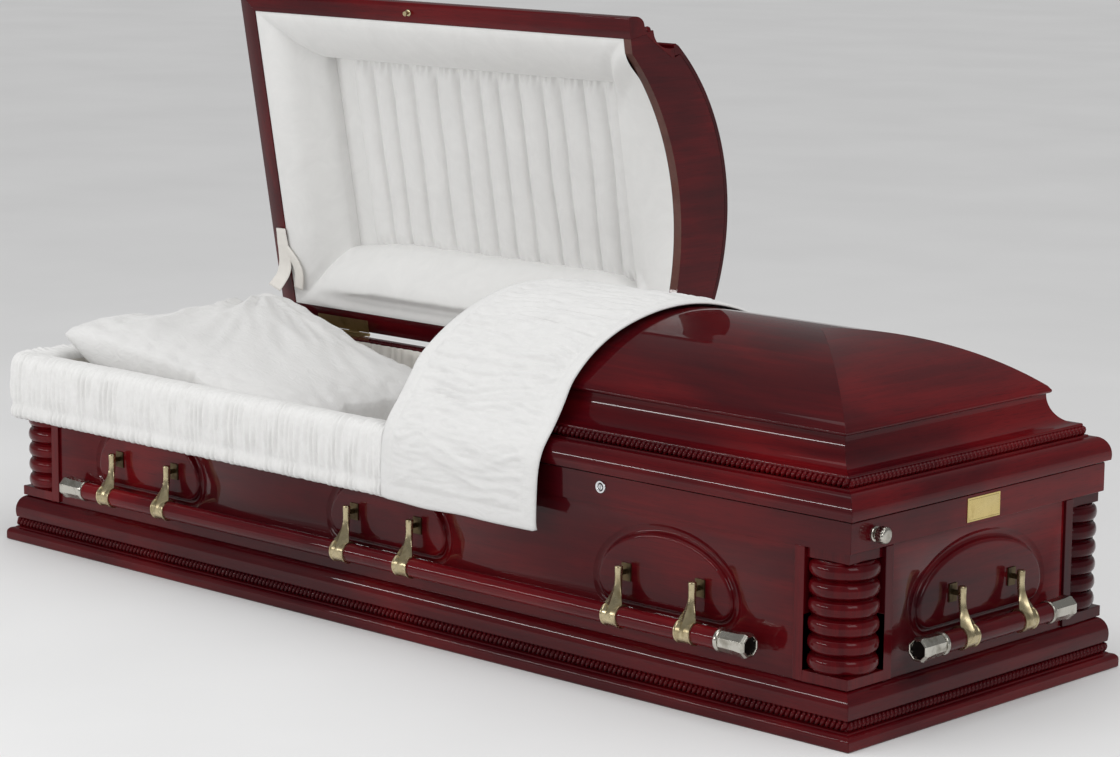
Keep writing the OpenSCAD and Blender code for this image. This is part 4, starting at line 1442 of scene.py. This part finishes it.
@dataclass
class Throw:
    """The crushed-velvet throw over the foot lid's cut end.

    Attributes:
        sizes: main sizes of the casket.
        left, right: where it lies along the casket.
        section: its front fall as (y, height), up to where the crown starts.
        crown_y: how far from the middle it starts to follow the crown.
        over: its clearance over the crown.
        border: width of the plain border.
        thick: thickness of the cloth.
    """

    sizes: Sizes
    left: float = 0.020
    right: float = 0.392
    section: Outline = (
        (-0.3735, 0.2500), (-0.3765, 0.2560), (-0.3768, 0.3000), (-0.3752, 0.3450), (-0.3690, 0.3720),
        (-0.3570, 0.3940), (-0.3300, 0.4240), (-0.3020, 0.4600), (-0.2900, 0.4780))
    crown_y: float = 0.279
    over: float = 0.0055
    border: float = 0.027
    thick: float = 0.0022

    def line(self) -> list[Vector]:
        """Lays out the whole section, from the front hem over the crown to the rear rim.

        Returns:
            Its points as (y, height).
        """
        s = self.sizes
        lid = Lid(s, Side.FOOT)
        centre = s.lid_z + lid.crown_up + lid.lip_h + lid.rise - lid.radius
        radius = lid.radius + self.over
        lean = math.degrees(math.asin(self.crown_y / radius))
        crown = [Vector(p) for p in arc(0.0, centre, radius, radius, 90 + lean, 90 - lean, 40)]
        fall = [Vector((-y, z)) for y, z in reversed(self.section[5:])]
        return [*softened((*self.section, tuple(crown[0])), 2)[:-1], *crown, *softened(fall, 2)[1:],
                Vector((0.3620, 0.3930))]

    def build(self) -> None:
        """Makes the throw."""
        line = self.line()
        steps = [(b - a).length for a, b in zip(line, line[1:])]
        length, width = sum(steps), self.right - self.left

        def surface(u: float, v: float) -> Vector:
            """The throw's point at a share of its section and of its width.

            Args:
                u, v: the two shares.

            Returns:
                The point.
            """
            here, ahead = along(line, u), along(line, min(u + 0.004, 1.0))
            back = along(line, max(u - 0.004, 0.0))
            out = Vector((0, -(ahead - back).y, (ahead - back).x)).normalized()
            run = u * length
            edge = min(v * width, (1 - v) * width, run)
            plain = smooth((edge - self.border) / 0.014)
            x = self.left + v * width + 0.004 * ripple(run * 4, v, 0.4) * (1 if v > 0.5 else 0.5)
            crest = math.exp(-((run - 0.36) / 0.13) ** 2)
            crease = 1 - abs(ripple(x * 7 + 3, run * 48 + 1.4 * ripple(x * 9, run * 9), 1.0)) * 3.0
            fine = 1 - abs(ripple(x * 17, run * 95, 6.0)) * 3.0
            up = plain * (0.0040 * (0.6 + 0.8 * crest) * max(crease, -0.6)
                          + 0.0014 * max(fine, -0.5)) + 0.0020
            up += 0.0030 * (ripple(x * 11, run * 6, 9.0) + 0.5)
            hem = math.exp(-((edge - self.border) / 0.004) ** 2)
            up -= 0.0014 * hem
            roll = smooth((v * width - width + 0.050) / 0.05)
            up += roll * 0.011 * crest
            if v > 0.985:
                up -= 0.004 * (v - 0.985) / 0.015
            left = smooth(1 - v * width / 0.030)
            up -= 0.0035 * left ** 2
            return Vector((x, here.x + out.y * up, here.y + out.z * up))

        bench = Bench()
        bench.sheet(330, 130, surface, (length, width))
        piece = bench.finish("throw_cloth", Finish.CRUSHED, "foot_lid", ["throw"], sharp=180, closed=False)
        solid = piece.modifiers.new("thickness", "SOLIDIFY")
        solid.thickness, solid.offset = self.thick, -1.0
        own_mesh(piece)


@dataclass
class LidLining:
    """The open lid's inside: puffed cloth on four sides, stuffed bolster at the hinges, shirred panel.

    Attributes:
        sizes: main sizes of the casket.
        rim: inset of the puffs' outer edge.
        puff: section of a puffed side as (distance from the rim, depth in the lid).
        end_x: where the puffed side at the cut starts.
        well: how far from the rim the panel starts.
        depth: depth of the panel.
        folds: number of the panel's folds.
        plain: width of its plain strip at the head end.
    """

    sizes: Sizes
    rim: float = 0.0580
    puff: Outline = (
        (0.0000, 0.0020), (0.0030, 0.0012), (0.0200, 0.0050), (0.0450, 0.0180), (0.0700, 0.0370),
        (0.0920, 0.0590), (0.1050, 0.0750), (0.1090, 0.0840), (0.1085, 0.0920), (0.1065, 0.1115))
    end_x: float = 0.0168
    well: float = 0.099
    depth: float = 0.1085
    folds: int = 13
    plain: float = 0.062

    @property
    def inwards(self) -> Vector:
        """The way that the lid's lining faces."""
        return self.sizes.opened.to_3x3() @ Vector((0, 0, -1))

    def build(self) -> None:
        """Makes the puffed sides and the panel."""
        self.sides()
        self.panel()

    def arch(self, y: float) -> float:
        """Height of the header's arch over the rim at a distance from the middle."""
        lid = Lid(self.sizes, Side.HEAD)
        radius = (lid.arch_half ** 2 + lid.arch ** 2) / (2 * lid.arch)
        return max(math.sqrt(radius ** 2 - y ** 2) - radius + lid.arch, 0.0)

    def sides(self) -> None:
        """Makes the four puffed sides, joined along their curved mitres."""
        s, rows = self.sizes, 44
        high, left, right = s.half_w - self.rim, self.rim - s.half_l, self.end_x
        section = softened(self.puff, 2)
        stations = [along(section, k / rows) for k in range(rows + 1)]

        def lean(t: float) -> float:
            """How far a mitre bends from its diagonal at a share of the section."""
            return 0.012 * math.sin(math.tau * t) * (1 - t)

        def swell(u: float, v: float, length: float) -> float:
            """How full a side is, from 0 at its seams.

            Args:
                u, v: shares of the side's length and of its section.
                length: the side's length there.

            Returns:
                A share from 0 to 1.
            """
            return math.sin(math.pi * min(v * 1.15, 1.0)) * smooth(min(u, 1 - u) * length / 0.030)

        def long_side(way: int) -> Callable[[float, float], Vector]:
            """Makes the shape of a long side.

            Args:
                way: -1 for the front and 1 for the side at the hinges, which has the bolster.

            Returns:
                The side's surface.
            """
            def surface(u: float, v: float) -> Vector:
                """The side's point at a share of its length and of its section.

                Args:
                    u, v: the two shares.

                Returns:
                    The point.
                """
                d, depth = stations[round(v * rows)]
                a, b = left + d + lean(v), right - d - lean(v)
                x = a + (b - a) * u
                full = swell(u, v, b - a)
                depth -= 0.005 * full + 0.0012 * full * ripple(x * 22, v * 2.2, way + 4.0)
                if way > 0:
                    body = smooth(min(u * 4.2, (1 - u) * 9)) ** 0.6
                    round_up = math.sin(math.pi * min(v * 1.08, 1.0)) ** 1.2
                    depth -= 0.030 * body * round_up * smooth((d - 0.014) / 0.03)
                    depth = max(depth, 0.0012 - 0.01 * smooth((d - 0.03) / 0.02))
                    d += 0.020 * body * smooth((v - 0.35) / 0.5)
                return Vector((x, way * (high - d), s.lid_z + depth))
            return surface

        def head_side(u: float, v: float) -> Vector:
            """The head side's point at a share of its length and of its section.

            Args:
                u, v: the two shares.

            Returns:
                The point.
            """
            d, depth = stations[round(v * rows)]
            y = (high - d) * (2 * u - 1)
            full = swell(u, v, 2 * (high - d))
            depth -= 0.005 * full + 0.0014 * full * ripple(y * 20, v * 2.2, 1.0)
            return Vector((left + d + lean(v), y, s.lid_z + depth))

        def cut_side(u: float, v: float) -> Vector:
            """The cut side's point, which follows the header's arch, at shares of length and section.

            Args:
                u, v: the two shares.

            Returns:
                The point.
            """
            d, depth = stations[round(v * rows)]
            y = (high - d) * (2 * u - 1)
            if v < 0.84:
                t = min(d / 0.107, 1.0)
                follow = self.arch(y) * (1 - t) + 0.078 * t
                edge = smooth((abs(2 * u - 1) - 0.72) / 0.28)
                depth = follow * (1 - edge) + depth * edge
            depth -= 0.007 * swell(u, v, 2 * (high - d))
            return Vector((right - d - lean(v), y, s.lid_z + depth))

        bench = Bench()
        for columns, surface in (
                (200, long_side(-1)), (200, long_side(1)), (130, head_side), (130, cut_side)):
            bench.sheet(columns, rows, surface)
        piece = bench.finish("head_lid_puffs", Finish.PUFFED, "head_lid",
                             ["head_lid_puff_frame", "head_lid_puff_end"], sharp=60, place=s.opened,
                             closed=False, facing=self.inwards)

    def panel(self) -> None:
        """Makes the shirred panel, with uneven folds from front to back and a plain strip at one end."""
        s = self.sizes
        low_x, high_x = -(s.half_l - self.rim - self.well), self.end_x - self.well
        half = s.half_w - self.rim - self.well
        width = high_x - low_x
        plain = self.plain
        gaps = [1 + 0.38 * ripple(k * 1.7, 0.3) for k in range(self.folds)]
        seams = [plain + (width - plain) * sum(gaps[:k]) / sum(gaps) for k in range(self.folds + 1)]

        def surface(u: float, v: float) -> Vector:
            """The panel's point at a share of its length and of its width.

            Args:
                u, v: the two shares.

            Returns:
                The point.
            """
            run, y = u * width, (2 * v - 1) * half
            wander = 0.005 * ripple(run * 6, y * 7, 3.0) * smooth((run - plain) / 0.03)
            place = run + wander
            depth = self.depth
            near = min(abs(place - seam) for seam in seams)
            if place > plain:
                end = smooth((half - abs(y)) / 0.05)
                depth -= 0.017 * (1 - math.exp(-near / 0.009)) * (0.35 + 0.65 * end)
                depth -= 0.0018 * ripple(run * 11, y * 9, 4.0) * smooth(near / 0.02)
                depth -= 0.0010 * ripple(run * 30, y * 40, 7.0) * math.exp(-near / 0.014)
                depth += 0.0040 * (1 - end) * math.sin(math.tau * run / 0.017)
            else:
                depth -= 0.0012 * ripple(run * 20, y * 8, 5.0)
            return Vector((low_x + run, y, s.lid_z + depth))

        bench = Bench()
        bench.sheet(300, 90, surface, (width, 2 * half))
        piece = bench.finish("head_lid_panel", Finish.PUFFED, "head_lid", ["head_lid_tufted_panel"],
                             sharp=180, place=s.opened, closed=False, facing=self.inwards)


@dataclass
class WallLining:
    """The pleated cloth on the inside of the four walls, in one piece.

    Attributes:
        sizes: main sizes of the casket.
        inset: inset of the cloth.
        post: inset where it steps round the corner posts.
        low, high: heights of its edges.
        pleat: distance between pleats.
    """

    sizes: Sizes
    inset: float = 0.0705
    post: float = 0.1405
    low: float = 0.050
    high: float = 0.3552
    pleat: float = 0.021

    def plan(self) -> list[Vector]:
        """Lays out the closed line that the cloth follows, seen from above.

        Returns:
            Its points as (x, y), the first one again at the end.
        """
        s = self.sizes
        x, y = s.half_l - self.inset, s.half_w - self.inset
        px, py = s.half_l - self.post, s.half_w - self.post
        corner = [(px, -y), (px, -py), (x, -py)]
        points = []
        for sx, sy in ((1, 1), (1, -1), (-1, -1), (-1, 1)):
            turned = [(sx * a, sy * b) for a, b in corner]
            points += turned if sx * sy > 0 else turned[::-1]
        points = [Vector(p) for p in points]
        rounded = []
        for before, here, after in zip(points[-1:] + points[:-1], points, points[1:] + points[:1]):
            a, b = (before - here).normalized() * 0.008, (after - here).normalized() * 0.008
            rounded += [here + a, here + a * 0.35 + b * 0.02, here + b * 0.35 + a * 0.02, here + b]
        return rounded + rounded[:1]

    def over_post(self, spot: Vector, v: float) -> Vector:
        """Lays the cloth's upper part over the corner posts and up the rails inside.

        Args:
            spot: the point's place on the plan.
            v: its share of the cloth's height.

        Returns:
            The point.
        """
        s = self.sizes
        top = s.rail_z + 0.0015
        outer_x, outer_y = s.half_l - self.inset, s.half_w - self.inset
        post_x, post_y = s.half_l - self.post, s.half_w - self.post
        a, b = (abs(spot.x) - post_x) / (outer_x - post_x), (abs(spot.y) - post_y) / (outer_y - post_y)
        x, y = abs(spot.x), abs(spot.y)
        if a > -0.12 and b > -0.12:
            z = self.low + (top - self.low) * min(v / 0.66, 1.0)
            z += (self.high - top) * max((v - 0.86) / 0.14, 0.0)
            way = smooth((v - 0.66) / 0.20)
            far_x = post_x + (outer_x - post_x) * min(max(1 - b + a, 0.0), 1.0)
            far_y = post_y + (outer_y - post_y) * min(max(1 - a + b, 0.0), 1.0)
            x, y = x + (far_x - x) * way, y + (far_y - y) * way
        else:
            z = self.low + (self.high - self.low) * v
        return Vector((math.copysign(x, spot.x), math.copysign(y, spot.y), z))

    def build(self) -> None:
        """Makes the lining."""
        line = self.plan()[::-1]
        length = sum((b - a).length for a, b in zip(line, line[1:]))
        height = self.high - self.low

        def surface(u: float, v: float) -> Vector:
            """The lining's point at a share of the way round and of its height.

            Args:
                u, v: the two shares.

            Returns:
                The point.
            """
            here, ahead = along(line, u % 1.0), along(line, (u + 0.0006) % 1.0)
            way = ahead - here
            inwards = Vector((way.y, -way.x)).normalized() if way.length else Vector((0, 0))
            round_x, round_y = math.cos(math.tau * u), math.sin(math.tau * u)
            phase = math.tau * (u * length / self.pleat + 0.7 * ripple(round_x * 25, round_y * 25))
            fold = 0.0036 * math.sin(phase) * (1 - 0.4 * smooth((v - 0.9) / 0.1))
            fold += 0.0012 * ripple(round_x * 60, round_y * 60, v * 4)
            return self.over_post(here + inwards * fold, v)

        bench = Bench()
        bench.sheet(1100, 24, surface, (length, height))
        piece = bench.finish("wall_lining", Finish.LINING, "casket",
                             ["lining_front", "lining_rear", "lining_head", "lining_foot"], sharp=180,
                             closed=False)


@dataclass
class Mattress:
    """The mattress: a padded slab that fits between the corner posts.

    Attributes:
        long, wide: half length and half width of the two oblongs that make its cross-shaped outline.
        count: points round it.
    """

    long: tuple[float, float] = (0.978, 0.234)
    wide: tuple[float, float] = (0.924, 0.288)
    count: int = 260

    def build(self) -> None:
        """Makes the mattress from a cross-shaped outline, rolled at its edges."""
        low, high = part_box("mattress")
        (lx, ly), (wx, wy) = self.long, self.wide
        quarter = [(lx, 0.0), (lx, ly), (wx, ly), (wx, wy), (0.0, wy)]
        plan = [Vector(p) for p in quarter]
        plan += [Vector((-p.x, p.y)) for p in reversed(plan[:-1])]
        plan += [Vector((p.x, -p.y)) for p in reversed(plan[1:-1])]
        ring = softened([*plan, plan[0]], 1)
        levels = [(0.020, low.z + 0.004), (0.006, low.z + 0.008), (0.001, low.z + 0.030),
                  (0.0, high.z - 0.05), (0.001, high.z - 0.024), (0.005, high.z - 0.010),
                  (0.012, high.z - 0.003), (0.022, high.z), (0.060, high.z + 0.001), (0.110, high.z + 0.002)]
        loops = []
        for pull, z in levels:
            loop = []
            for k in range(self.count):
                p = along(ring, k / self.count)
                inner = Vector((p.x * (1 - pull / lx), p.y * (1 - pull / wy)))
                sag = 0.0015 * ripple(p.x * 6, p.y * 6, z * 20)
                loop.append((inner.x, inner.y, z + sag))
            loops.append(loop)
        bench = Bench()
        bench.loft(loops)
        piece = bench.finish("mattress_visual", Finish.TICKING, "casket", ["mattress"], sharp=60)


@dataclass
class Pillow:
    """The pillow: a sewn bag blown up as cloth, laid on the mattress with its head end on the rail.

    Attributes:
        high, low: heights of the seam at the head end and at the other end.
        full: half its thickness at the low end.
        tuck: how far its sides spread beyond its solid.
        rise: how far it stands over its solid.
        ledge_x, ledge_z: where it lies on the head end's post caps, and their height.
        bed_z: height of the mattress under it.
        frames: steps of the simulation.
    """

    high: float = 0.412
    low: float = 0.222
    full: float = 0.130
    tuck: float = 0.020
    rise: float = 0.018
    ledge_x: float = -0.924
    ledge_z: float = 0.3095
    bed_z: float = 0.2015
    frames: int = 22

    def bag(self, half: tuple[float, float]) -> bpy.types.Object:
        """Makes the flat sewn bag as two sheets of cloth joined at their edges.

        Args:
            half: half its length and width.

        Returns:
            The bag.
        """
        bm = bmesh.new()
        for z in (-0.004, 0.004):
            made = bmesh.ops.create_grid(bm, x_segments=64, y_segments=56, size=1.0)["verts"]
            for vert in made:
                x, y = vert.co.x, vert.co.y
                rim = min(1 - abs(x), 1 - abs(y))
                vert.co = Vector((x * half[0], y * half[1], z * min(rim * 12, 1.0)))
        bmesh.ops.remove_doubles(bm, verts=bm.verts, dist=1e-5)
        bmesh.ops.recalc_face_normals(bm, faces=bm.faces)
        mesh = bpy.data.meshes.new("pillow")
        bm.to_mesh(mesh)
        bm.free()
        bag = bpy.data.objects.new("pillow_cloth", mesh)
        bpy.context.scene.collection.objects.link(bag)
        return bag

    def blow(self, bag: bpy.types.Object) -> None:
        """Blows the bag up as cloth and applies the result.

        Args:
            bag: the flat bag.
        """
        cloth = bag.modifiers.new("cloth", "CLOTH")
        settings = cloth.settings
        settings.quality = 6
        settings.mass = 0.25
        settings.tension_stiffness = settings.compression_stiffness = 14
        settings.shear_stiffness = 4
        settings.bending_stiffness = 0.12
        settings.air_damping = 2.0
        settings.use_pressure = True
        settings.uniform_pressure_force = 9
        settings.effector_weights.gravity = 0
        cloth.point_cache.frame_start, cloth.point_cache.frame_end = 1, self.frames
        scene = bpy.context.scene
        for step in range(1, self.frames + 1):
            scene.frame_set(step)
        blown = bag.evaluated_get(bpy.context.evaluated_depsgraph_get())
        shaped = bpy.data.meshes.new_from_object(blown)
        bag.modifiers.remove(cloth)
        bag.data = shaped
        scene.frame_set(1)

    def build(self) -> None:
        """Makes the pillow."""
        low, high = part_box("pillow")
        half = ((high.x - low.x) / 2, (high.y - low.y) / 2)
        bag = self.bag(half)
        flat = [v.co.copy() for v in bag.data.vertices]
        self.blow(bag)
        span = [max(abs(v.co[k]) for v in bag.data.vertices) for k in range(3)]
        for vert, start in zip(bag.data.vertices, flat):
            blown = Vector(c / s for c, s in zip(vert.co, span))
            side = 0.0 if abs(start.z) < 1e-6 else math.copysign(1.0, start.z)
            mixed = Vector((
                start.x / half[0] * 0.6 + blown.x * 0.4, start.y / half[1] * 0.6 + blown.y * 0.4,
                side * (0.8 + 0.2 * abs(blown.z))))
            vert.co = self.laid(mixed, low, high)
        bag.data.update()
        bm = bmesh.new()
        bm.from_mesh(bag.data)
        bench = Bench()
        bench.bm.free()
        bench.bm = bm
        bpy.data.objects.remove(bag)
        piece = bench.finish("pillow_visual", Finish.CRUSHED, "casket", ["pillow"], sharp=180)
        smoothed = piece.modifiers.new("smoothing", "SUBSURF")
        smoothed.levels = smoothed.render_levels = 1
        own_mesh(piece)

    def laid(self, p: Vector, low: Vector, high: Vector) -> Vector:
        """Lays a point of the bag in its place.

        Args:
            p: the point, in shares of the bag's half sizes.
            low, high: corners of the pillow's box.

        Returns:
            The point in its place.
        """
        middle, half = (low + high) / 2, (high - low) / 2
        x = middle.x + p.x * half.x
        t = (1 - p.x) / 2
        y = middle.y + p.y * (half.y + self.tuck * smooth(t * 2))
        seam = self.low + (self.high - self.low) * t ** 1.3
        p.z *= (max(1 - p.x ** 6, 0) * max(1 - p.y ** 6, 0)) ** 0.45
        z = seam + p.z * self.full * (1 - 0.55 * t)
        dist = math.hypot(p.x + 1, p.y - 0.9)
        fan = math.atan2(p.y - 0.9, p.x + 1.06)
        pull = math.exp(-dist * 1.1) * smooth(dist * 5)
        if p.z > 0:
            z += pull * 0.016 * (1 - abs(ripple(fan * 9, dist * 1.2, 4.0)) * 2.8)
            near = min(1 - abs(p.x), 1 - abs(p.y))
            z += 0.006 * smooth(near * 8) * smooth((0.45 - near) * 4) * ripple(p.x * 13, p.y * 13, 2.0)
            z += 0.004 * ripple(p.x * 2.4, p.y * 2.4, 3.0)
        floor = self.ledge_z + (self.bed_z - self.ledge_z) * smooth((x - self.ledge_x) / 0.07)
        return Vector((x, y, min(max(z, floor), high.z + self.rise)))


@dataclass
class StaySleeve:
    """The cloth sleeve over the stay that holds the head lid open: one strap with two legs.

    Attributes:
        sizes: main sizes of the casket.
        x: where it hangs along the casket.
        start, end: how far back on the closed lid its top and its foot are.
        thick: thickness of the sleeve.
        flat: its width and length, cut flat; not used.
    """

    sizes: Sizes
    x: float = -1.012
    start: float = 0.150
    end: float = 0.280
    thick: float = 0.0060
    flat: tuple[float, float] = (0.077, 0.110)

    def strap(self, bench: Bench, line: Sequence[Vector], across: Vector, widths: tuple[float, float],
              phase: float) -> None:
        """Adds a soft flat tube along a line.

        Args:
            bench: the mesh that it is added to.
            line: the tube's middle.
            across: the way that it is wide.
            widths: half its width at its start and end.
            phase: sets its creases apart from another tube's.
        """
        loops, count, corners = [], 26, 20
        for k in range(count + 1):
            t = k / count
            here = along(line, t)
            way = (along(line, min(t + 0.03, 1)) - along(line, max(t - 0.03, 0))).normalized()
            side = (across - way * across.dot(way)).normalized()
            out = way.cross(side)
            half = widths[0] + (widths[1] - widths[0]) * t
            half *= 1 + 0.06 * ripple(t * 7, phase)
            loop = []
            for step in range(corners):
                a = math.tau * step / corners
                bump = 1 + 0.18 * ripple(t * 16, step * 0.8, phase)
                loop.append(here + side * half * math.cos(a) + out * self.thick / 2 * bump * math.sin(a))
            loops.append(loop)
        bench.loft(loops)

    def build(self) -> None:
        """Makes the sleeve."""
        s = self.sizes
        low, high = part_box("stay_sleeve")
        top, bottom = (s.opened @ Vector((self.x, y, s.lid_z - 0.004)) for y in (self.start, self.end))
        fork, across = top.lerp(bottom, 0.25), Vector((1, 0, 0))
        straight = [top, fork, bottom.lerp(top, 0.3), Vector((low.x + 0.006, bottom.y - 0.03, low.z))]
        branch = [fork, Vector((high.x + 0.022, fork.y + 0.012, fork.z - 0.05)),
                  Vector((high.x + 0.012, bottom.y, low.z))]
        bench = Bench()
        self.strap(bench, softened(straight, 2), across, (0.014, 0.022), 2.0)
        self.strap(bench, softened(branch, 2), across, (0.010, 0.014), 5.0)
        piece = bench.finish("stay_sleeve_visual", Finish.LINING, "head_lid", ["stay_sleeve"], sharp=180)
        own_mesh(piece)


# ---------------------------------------------------------------- studio


@dataclass
class Studio:
    """Pale floor, soft lights and camera.

    Attributes:
        eye: the camera's place.
        yaw, pitch, roll: where it looks, in degrees.
        lens: focal length in millimetres.
        floor_half: half the floor's width.
        lit, glossy: strength of the surroundings as light on rough surfaces and in reflections.
    """

    eye: tuple[float, float, float] = (4.1382, -4.3021, 1.4652)
    yaw: float = 43.245
    pitch: float = 10.011
    roll: float = 0.4775
    lens: float = 106.87
    floor_half: float = 60.0
    lit: float = 0.70
    glossy: float = 0.22

    def build(self) -> None:
        """Makes the floor, the lights, the world and the camera."""
        self.floor()
        self.world()
        self.light("overhead", (0.3, -0.6, 3.4), (0.0, 0.0, 0.3), (3.4, 2.2), 26.0)
        self.light("key", (3.4, -1.2, 2.3), (0.0, -0.1, 0.3), (1.6, 1.6), 22.0)
        self.light("front_strip", (-1.6, -3.6, 1.3), (-0.2, -0.3, 0.2), (3.2, 0.12), 34.0)
        self.camera()

    def floor(self) -> None:
        """Makes the floor."""
        bm = bmesh.new()
        bmesh.ops.create_grid(bm, x_segments=1, y_segments=1, size=self.floor_half)
        mesh = bpy.data.meshes.new("floor")
        bm.to_mesh(mesh)
        bm.free()
        floor = bpy.data.objects.new("floor", mesh)
        bpy.context.scene.collection.objects.link(floor)
        recipe = Recipe("floor_paint").set(Roughness=0.75)
        cloud = recipe.noise(recipe.scaled((1.0,) * 3), 1.4, 3.0)
        recipe.into("Base Color", recipe.ramp(cloud, ((0.3, (0.80, 0.80, 0.80)), (0.7, (0.84, 0.84, 0.84)))))
        mesh.materials.append(recipe.material)

    def world(self) -> None:
        """Makes the surroundings: near white to the camera, softer in reflections."""
        world = bpy.data.worlds.new("surroundings")
        world.use_nodes = True
        tree = world.node_tree
        ground = tree.nodes["Background"]
        ground.inputs["Color"].default_value = (1, 1, 1, 1)
        path = tree.nodes.new("ShaderNodeLightPath")
        seen = tree.nodes.new("ShaderNodeMapRange")
        seen.inputs["To Min"].default_value = self.lit
        seen.inputs["To Max"].default_value = 1.0
        tree.links.new(path.outputs["Is Camera Ray"], seen.inputs["Value"])
        gloss = tree.nodes.new("ShaderNodeMapRange")
        gloss.inputs["To Max"].default_value = self.glossy
        tree.links.new(path.outputs["Is Glossy Ray"], gloss.inputs["Value"])
        tree.links.new(seen.outputs["Result"], gloss.inputs["To Min"])
        tree.links.new(gloss.outputs["Result"], ground.inputs["Strength"])
        bpy.context.scene.world = world
        bpy.context.scene.view_settings.view_transform = "Standard"

    def light(self, name: str, place: Sequence[float], aim: Sequence[float], size: tuple[float, float],
              power: float) -> None:
        """Adds a soft box that faces a point.

        Args:
            name: its name.
            place: where it is.
            aim: the point that it faces.
            size: its width and height.
            power: its power in watts.
        """
        lamp = bpy.data.lights.new(name, "AREA")
        lamp.shape = "RECTANGLE"
        lamp.size, lamp.size_y = size
        lamp.energy = power
        box = bpy.data.objects.new(name, lamp)
        box.location = place
        box.rotation_euler = (Vector(aim) - Vector(place)).to_track_quat("-Z", "Y").to_euler()
        bpy.context.scene.collection.objects.link(box)

    def camera(self) -> None:
        """Adds the camera."""
        yaw, pitch, roll = (math.radians(a) for a in (self.yaw, self.pitch, self.roll))
        forward = Vector((
            -math.sin(yaw) * math.cos(pitch), math.cos(yaw) * math.cos(pitch), -math.sin(pitch)))
        level = Vector((math.cos(yaw), math.sin(yaw), 0))
        right = level * math.cos(roll) + level.cross(forward) * math.sin(roll)
        data = bpy.data.cameras.new("camera")
        data.lens, data.sensor_width = self.lens, 36.0
        data.clip_end = self.floor_half
        camera = bpy.data.objects.new("camera", data)
        turn = Matrix((right, right.cross(forward), -forward)).transposed().to_4x4()
        camera.matrix_world = Matrix.Translation(self.eye) @ turn
        bpy.context.scene.collection.objects.link(camera)
        bpy.context.scene.camera = camera


def main() -> None:
    """Builds the casket's looks in order."""
    logging.basicConfig(level=logging.INFO, format="%(message)s")
    sizes = Sizes.measured()
    for build in (
        Studio().build, Base(sizes).build, Panels(sizes).build, Corners(sizes).build,
        Lid(sizes, Side.FOOT).build, Lid(sizes, Side.HEAD).build,
        Handles(sizes).build, Fittings(sizes).build, Mattress().build, WallLining(sizes).build,
        Pillow().build, Skirt(sizes).build, Throw(sizes).build, LidLining(sizes).build,
        StaySleeve(sizes).build,
    ):
        build()


if __name__ == "__main__":
    main()
